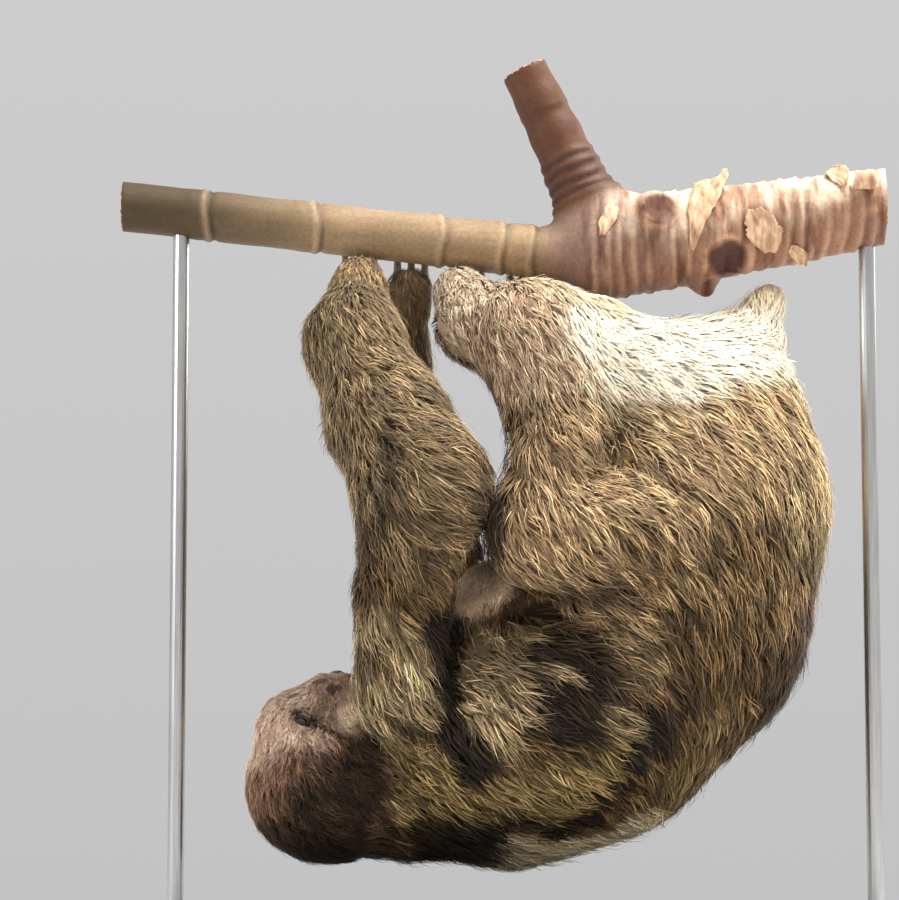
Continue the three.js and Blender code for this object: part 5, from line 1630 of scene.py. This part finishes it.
def build_flake(name, spine, half, left, right, upper, lower, seed, material):
    """A papery strip of bark coming away from the branch. The spine gives x and the angle round the branch
    (90 on top, 180 on the near side); half its half width along the way; the rest how far each edge has lifted."""
    nu, nv = 17, 34
    g = np.random.default_rng(seed)
    ragged = g.normal(0, 1, (2, nv))
    S = np.array(spine, float)
    v = np.linspace(0, 1, nv)
    at = np.linspace(0, 1, len(S))
    X, A = np.interp(v, at, S[:, 0]), np.radians(np.interp(v, at, S[:, 1]))
    Hw = np.interp(v, np.linspace(0, 1, len(half)), half)
    grid = np.zeros((nv, nu, 3))
    for j in range(nv):
        for i in range(nu):
            u = -1 + 2 * i / (nu - 1)
            edge = 1 + 0.05 * math.sin(v[j] * 17 + seed) + 0.05 * ragged[int(u > 0), j] * abs(u)
            x = X[j] + u * Hw[j] * edge
            z, r = branch_at(np.array([x]))
            rise = 1.0 + left * ((1 - u) / 2) ** 2.2 + right * ((1 + u) / 2) ** 2.2 + upper * (1 - v[j]) ** 2.2 + lower * v[j] ** 2.2
            rise += 0.5 * math.sin(u * 3 + v[j] * 7 + seed) + 0.25 * math.sin(u * 8 - v[j] * 13 + seed)
            rr = r[0] + max(rise, 0.6)
            grid[j, i] = (x, math.cos(A[j]) * rr, z[0] + math.sin(A[j]) * rr)
    return sheet_piece(name, grid, 0.7, material)


def build_curl(name, x, half, angle, start, end, turns, seed, material):
    """A strip of bark rolled back on itself; its roll runs along the branch."""
    nu, nv = 13, 40
    z, r = branch_at(np.array([x]))
    a = math.radians(angle)
    out = np.array([0.0, math.cos(a), math.sin(a)])
    tangent = np.array([0.0, -math.sin(a), math.cos(a)])
    centre = np.array([x, 0.0, z[0]]) + out * (r[0] + start * 0.92)
    grid = np.zeros((nv, nu, 3))
    for j in range(nv):
        v = j / (nv - 1)
        phi = -math.pi / 2 + v * turns * 2 * math.pi
        rad = start + (end - start) * v
        for i in range(nu):
            u = -1 + 2 * i / (nu - 1)
            w = half * (1 - 0.25 * v + 0.05 * math.sin(v * 15 + seed))
            p = centre + out * math.sin(phi) * rad * (1 + 0.06 * u) + tangent * math.cos(phi) * rad * (1 - 0.05 * u)
            grid[j, i] = p + np.array([u * w + 1.5 * v, 0, 0])
    return sheet_piece(name, grid, 0.7, material)


# ------------------------------------------------------------ stage
def build_stage():
    mat, nt, b = tree_of("floor_pale")
    n = texture(nt, "ShaderNodeTexNoise", 3.0, 3.0)
    c = ramp(nt, n.outputs["Fac"], [(0.3, grey(0.66)), (0.7, grey(0.70))])
    nt.links.new(c, b.inputs["Base Color"])
    b.inputs["Roughness"].default_value = 0.8
    s = 9.0
    me = bpy.data.meshes.new("floor")
    me.from_pydata([(-s, -s, 0), (s, -s, 0), (s, s, 0), (-s, s, 0)], [], [(0, 1, 2, 3)])
    floor = bpy.data.objects.new("floor", me)
    bpy.context.scene.collection.objects.link(floor)
    floor.data.materials.append(mat)

    world = bpy.data.worlds.new("studio")
    bpy.context.scene.world = world
    world.use_nodes = True
    nt = world.node_tree
    bg = nt.nodes["Background"]
    tc = add(nt, "ShaderNodeTexCoord")
    sep = add(nt, "ShaderNodeSeparateXYZ")
    nt.links.new(tc.outputs["Generated"], sep.inputs[0])
    k = add(nt, "ShaderNodeMapRange")
    nt.links.new(sep.outputs["Z"], k.inputs["Value"])
    k.inputs["From Min"].default_value = -0.3
    k.inputs["From Max"].default_value = 1.0
    c = ramp(nt, k.outputs["Result"], [(0.0, grey(0.50)), (0.23, grey(0.68)), (0.5, grey(0.80)), (1.0, grey(1.0))])
    nt.links.new(c, bg.inputs["Color"])
    bg.inputs["Strength"].default_value = WORLD

    def light(name, at, to, size, power, colour, size_y=None):
        data = bpy.data.lights.new(name, "AREA")
        data.shape = "RECTANGLE" if size_y else "DISK"
        data.size = size
        if size_y:
            data.size_y = size_y
        data.energy = power
        data.color = colour
        ob = bpy.data.objects.new(name, data)
        bpy.context.scene.collection.objects.link(ob)
        ob.location = at
        ob.rotation_euler = (Vector(to) - Vector(at)).to_track_quat("-Z", "Y").to_euler()

    for spec in LIGHTS:
        light(*spec)
    bpy.context.scene.view_settings.view_transform = "Standard"
    bpy.context.scene.view_settings.look = "None"


COAT_FACTOR, COAT_WIDTH = 1.26, 0.74
WORLD = 0.80
LIGHTS = [
    ("key", (0.95, -0.50, 2.6), (0.06, 0.0, 0.34), 1.3, 150.0, (1.0, 0.965, 0.91)),
    ("rim", (1.9, 1.3, 1.3), (0.1, 0.0, 0.3), 0.9, 26.0, (1.0, 0.98, 0.94)),
    ("face", (-1.9, -0.85, 1.05), (-0.10, 0.0, 0.16), 0.8, 20.0, (1.0, 0.98, 0.95)),
]

# ------------------------------------------------------------ build
import time

t0 = time.time()
build_stage()
skin, skin_v = build_skin()
print("skin", len(skin.data.polygons), round(time.time() - t0, 1))
uv = unwrap(skin)
print("unwrap", round(time.time() - t0, 1))
shade, _ = paint(skin_v)
colour_attribute(skin, shade)
skin.data.materials.append(skin_material())
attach(skin, "root")
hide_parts("head", "neck", "trunk_chest", "trunk_belly", "trunk_hips", "tail", "arm_right_upper", "arm_right_fore", "hand_right",
            "arm_left_upper", "arm_left_fore", "hand_left", "leg_right_thigh", "leg_right_shank", "foot_right", "leg_left_thigh", "leg_left_shank", "foot_left")
pieces = grow_coat(skin, skin_v, uv, fur_material())
print("coat", len(pieces), round(time.time() - t0, 1))

eye_mat, lid_mat = eye_material(), lid_material()
for name in EYES:
    build_eye(name, eye_mat)
    build_lids(name, lid_mat)
build_nose(nose_material())
horn = claw_material()
for limb, (x, spread, lean, start) in CLAW_SETS.items():
    for i in range(3):
        build_claw(f"{limb}_claw_{i + 1}", x + (i - 1) * spread, lean + (i - 1), start, horn)
build_branch(bark_material(), cut_material())
flake = flake_material()
build_flake("bark_flake_1", [(143, 78), (139, 108), (134, 140), (128, 172), (123, 204)], [3, 9, 12, 10, 5, 1.2], 0.5, 6.5, 5.0, 0.0, 3, flake)
build_flake("bark_flake_2", [(165, 168), (170, 188), (173, 206), (176, 220)], [4, 10, 12, 9, 3], 1.5, 3.0, 0.5, 5.0, 5, flake)
build_flake("bark_flake_3", [(219, 92), (222, 120), (226, 152)], [2, 5, 7, 5, 1.2], 0.0, 4.0, 1.5, 0.5, 8, flake)
build_flake("bark_flake_4", [(192, 222), (196, 238), (199, 250)], [2, 6, 5, 2], 0.0, 2.0, 0.0, 5.0, 11, flake)
build_flake("bark_flake_5", [(74, 128), (70, 150), (64, 176)], [1.5, 4, 6, 2], 1.5, 0.0, 0.0, 1.5, 14, flake)
build_curl("bark_curl", 238, 8.0, 150, 7.5, 4.0, 0.82, 2, flake)
print("branch", round(time.time() - t0, 1))

for name, mat in (("stand_base", base_material()), ("stand_rod_left", rod_material()), ("stand_rod_right", None)):
    ob = nodes[name]
    mat = mat or bpy.data.materials["stand_steel"]
    ob.data.materials.clear()
    ob.data.materials.append(mat)

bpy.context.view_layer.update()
print("all", round(time.time() - t0, 1))
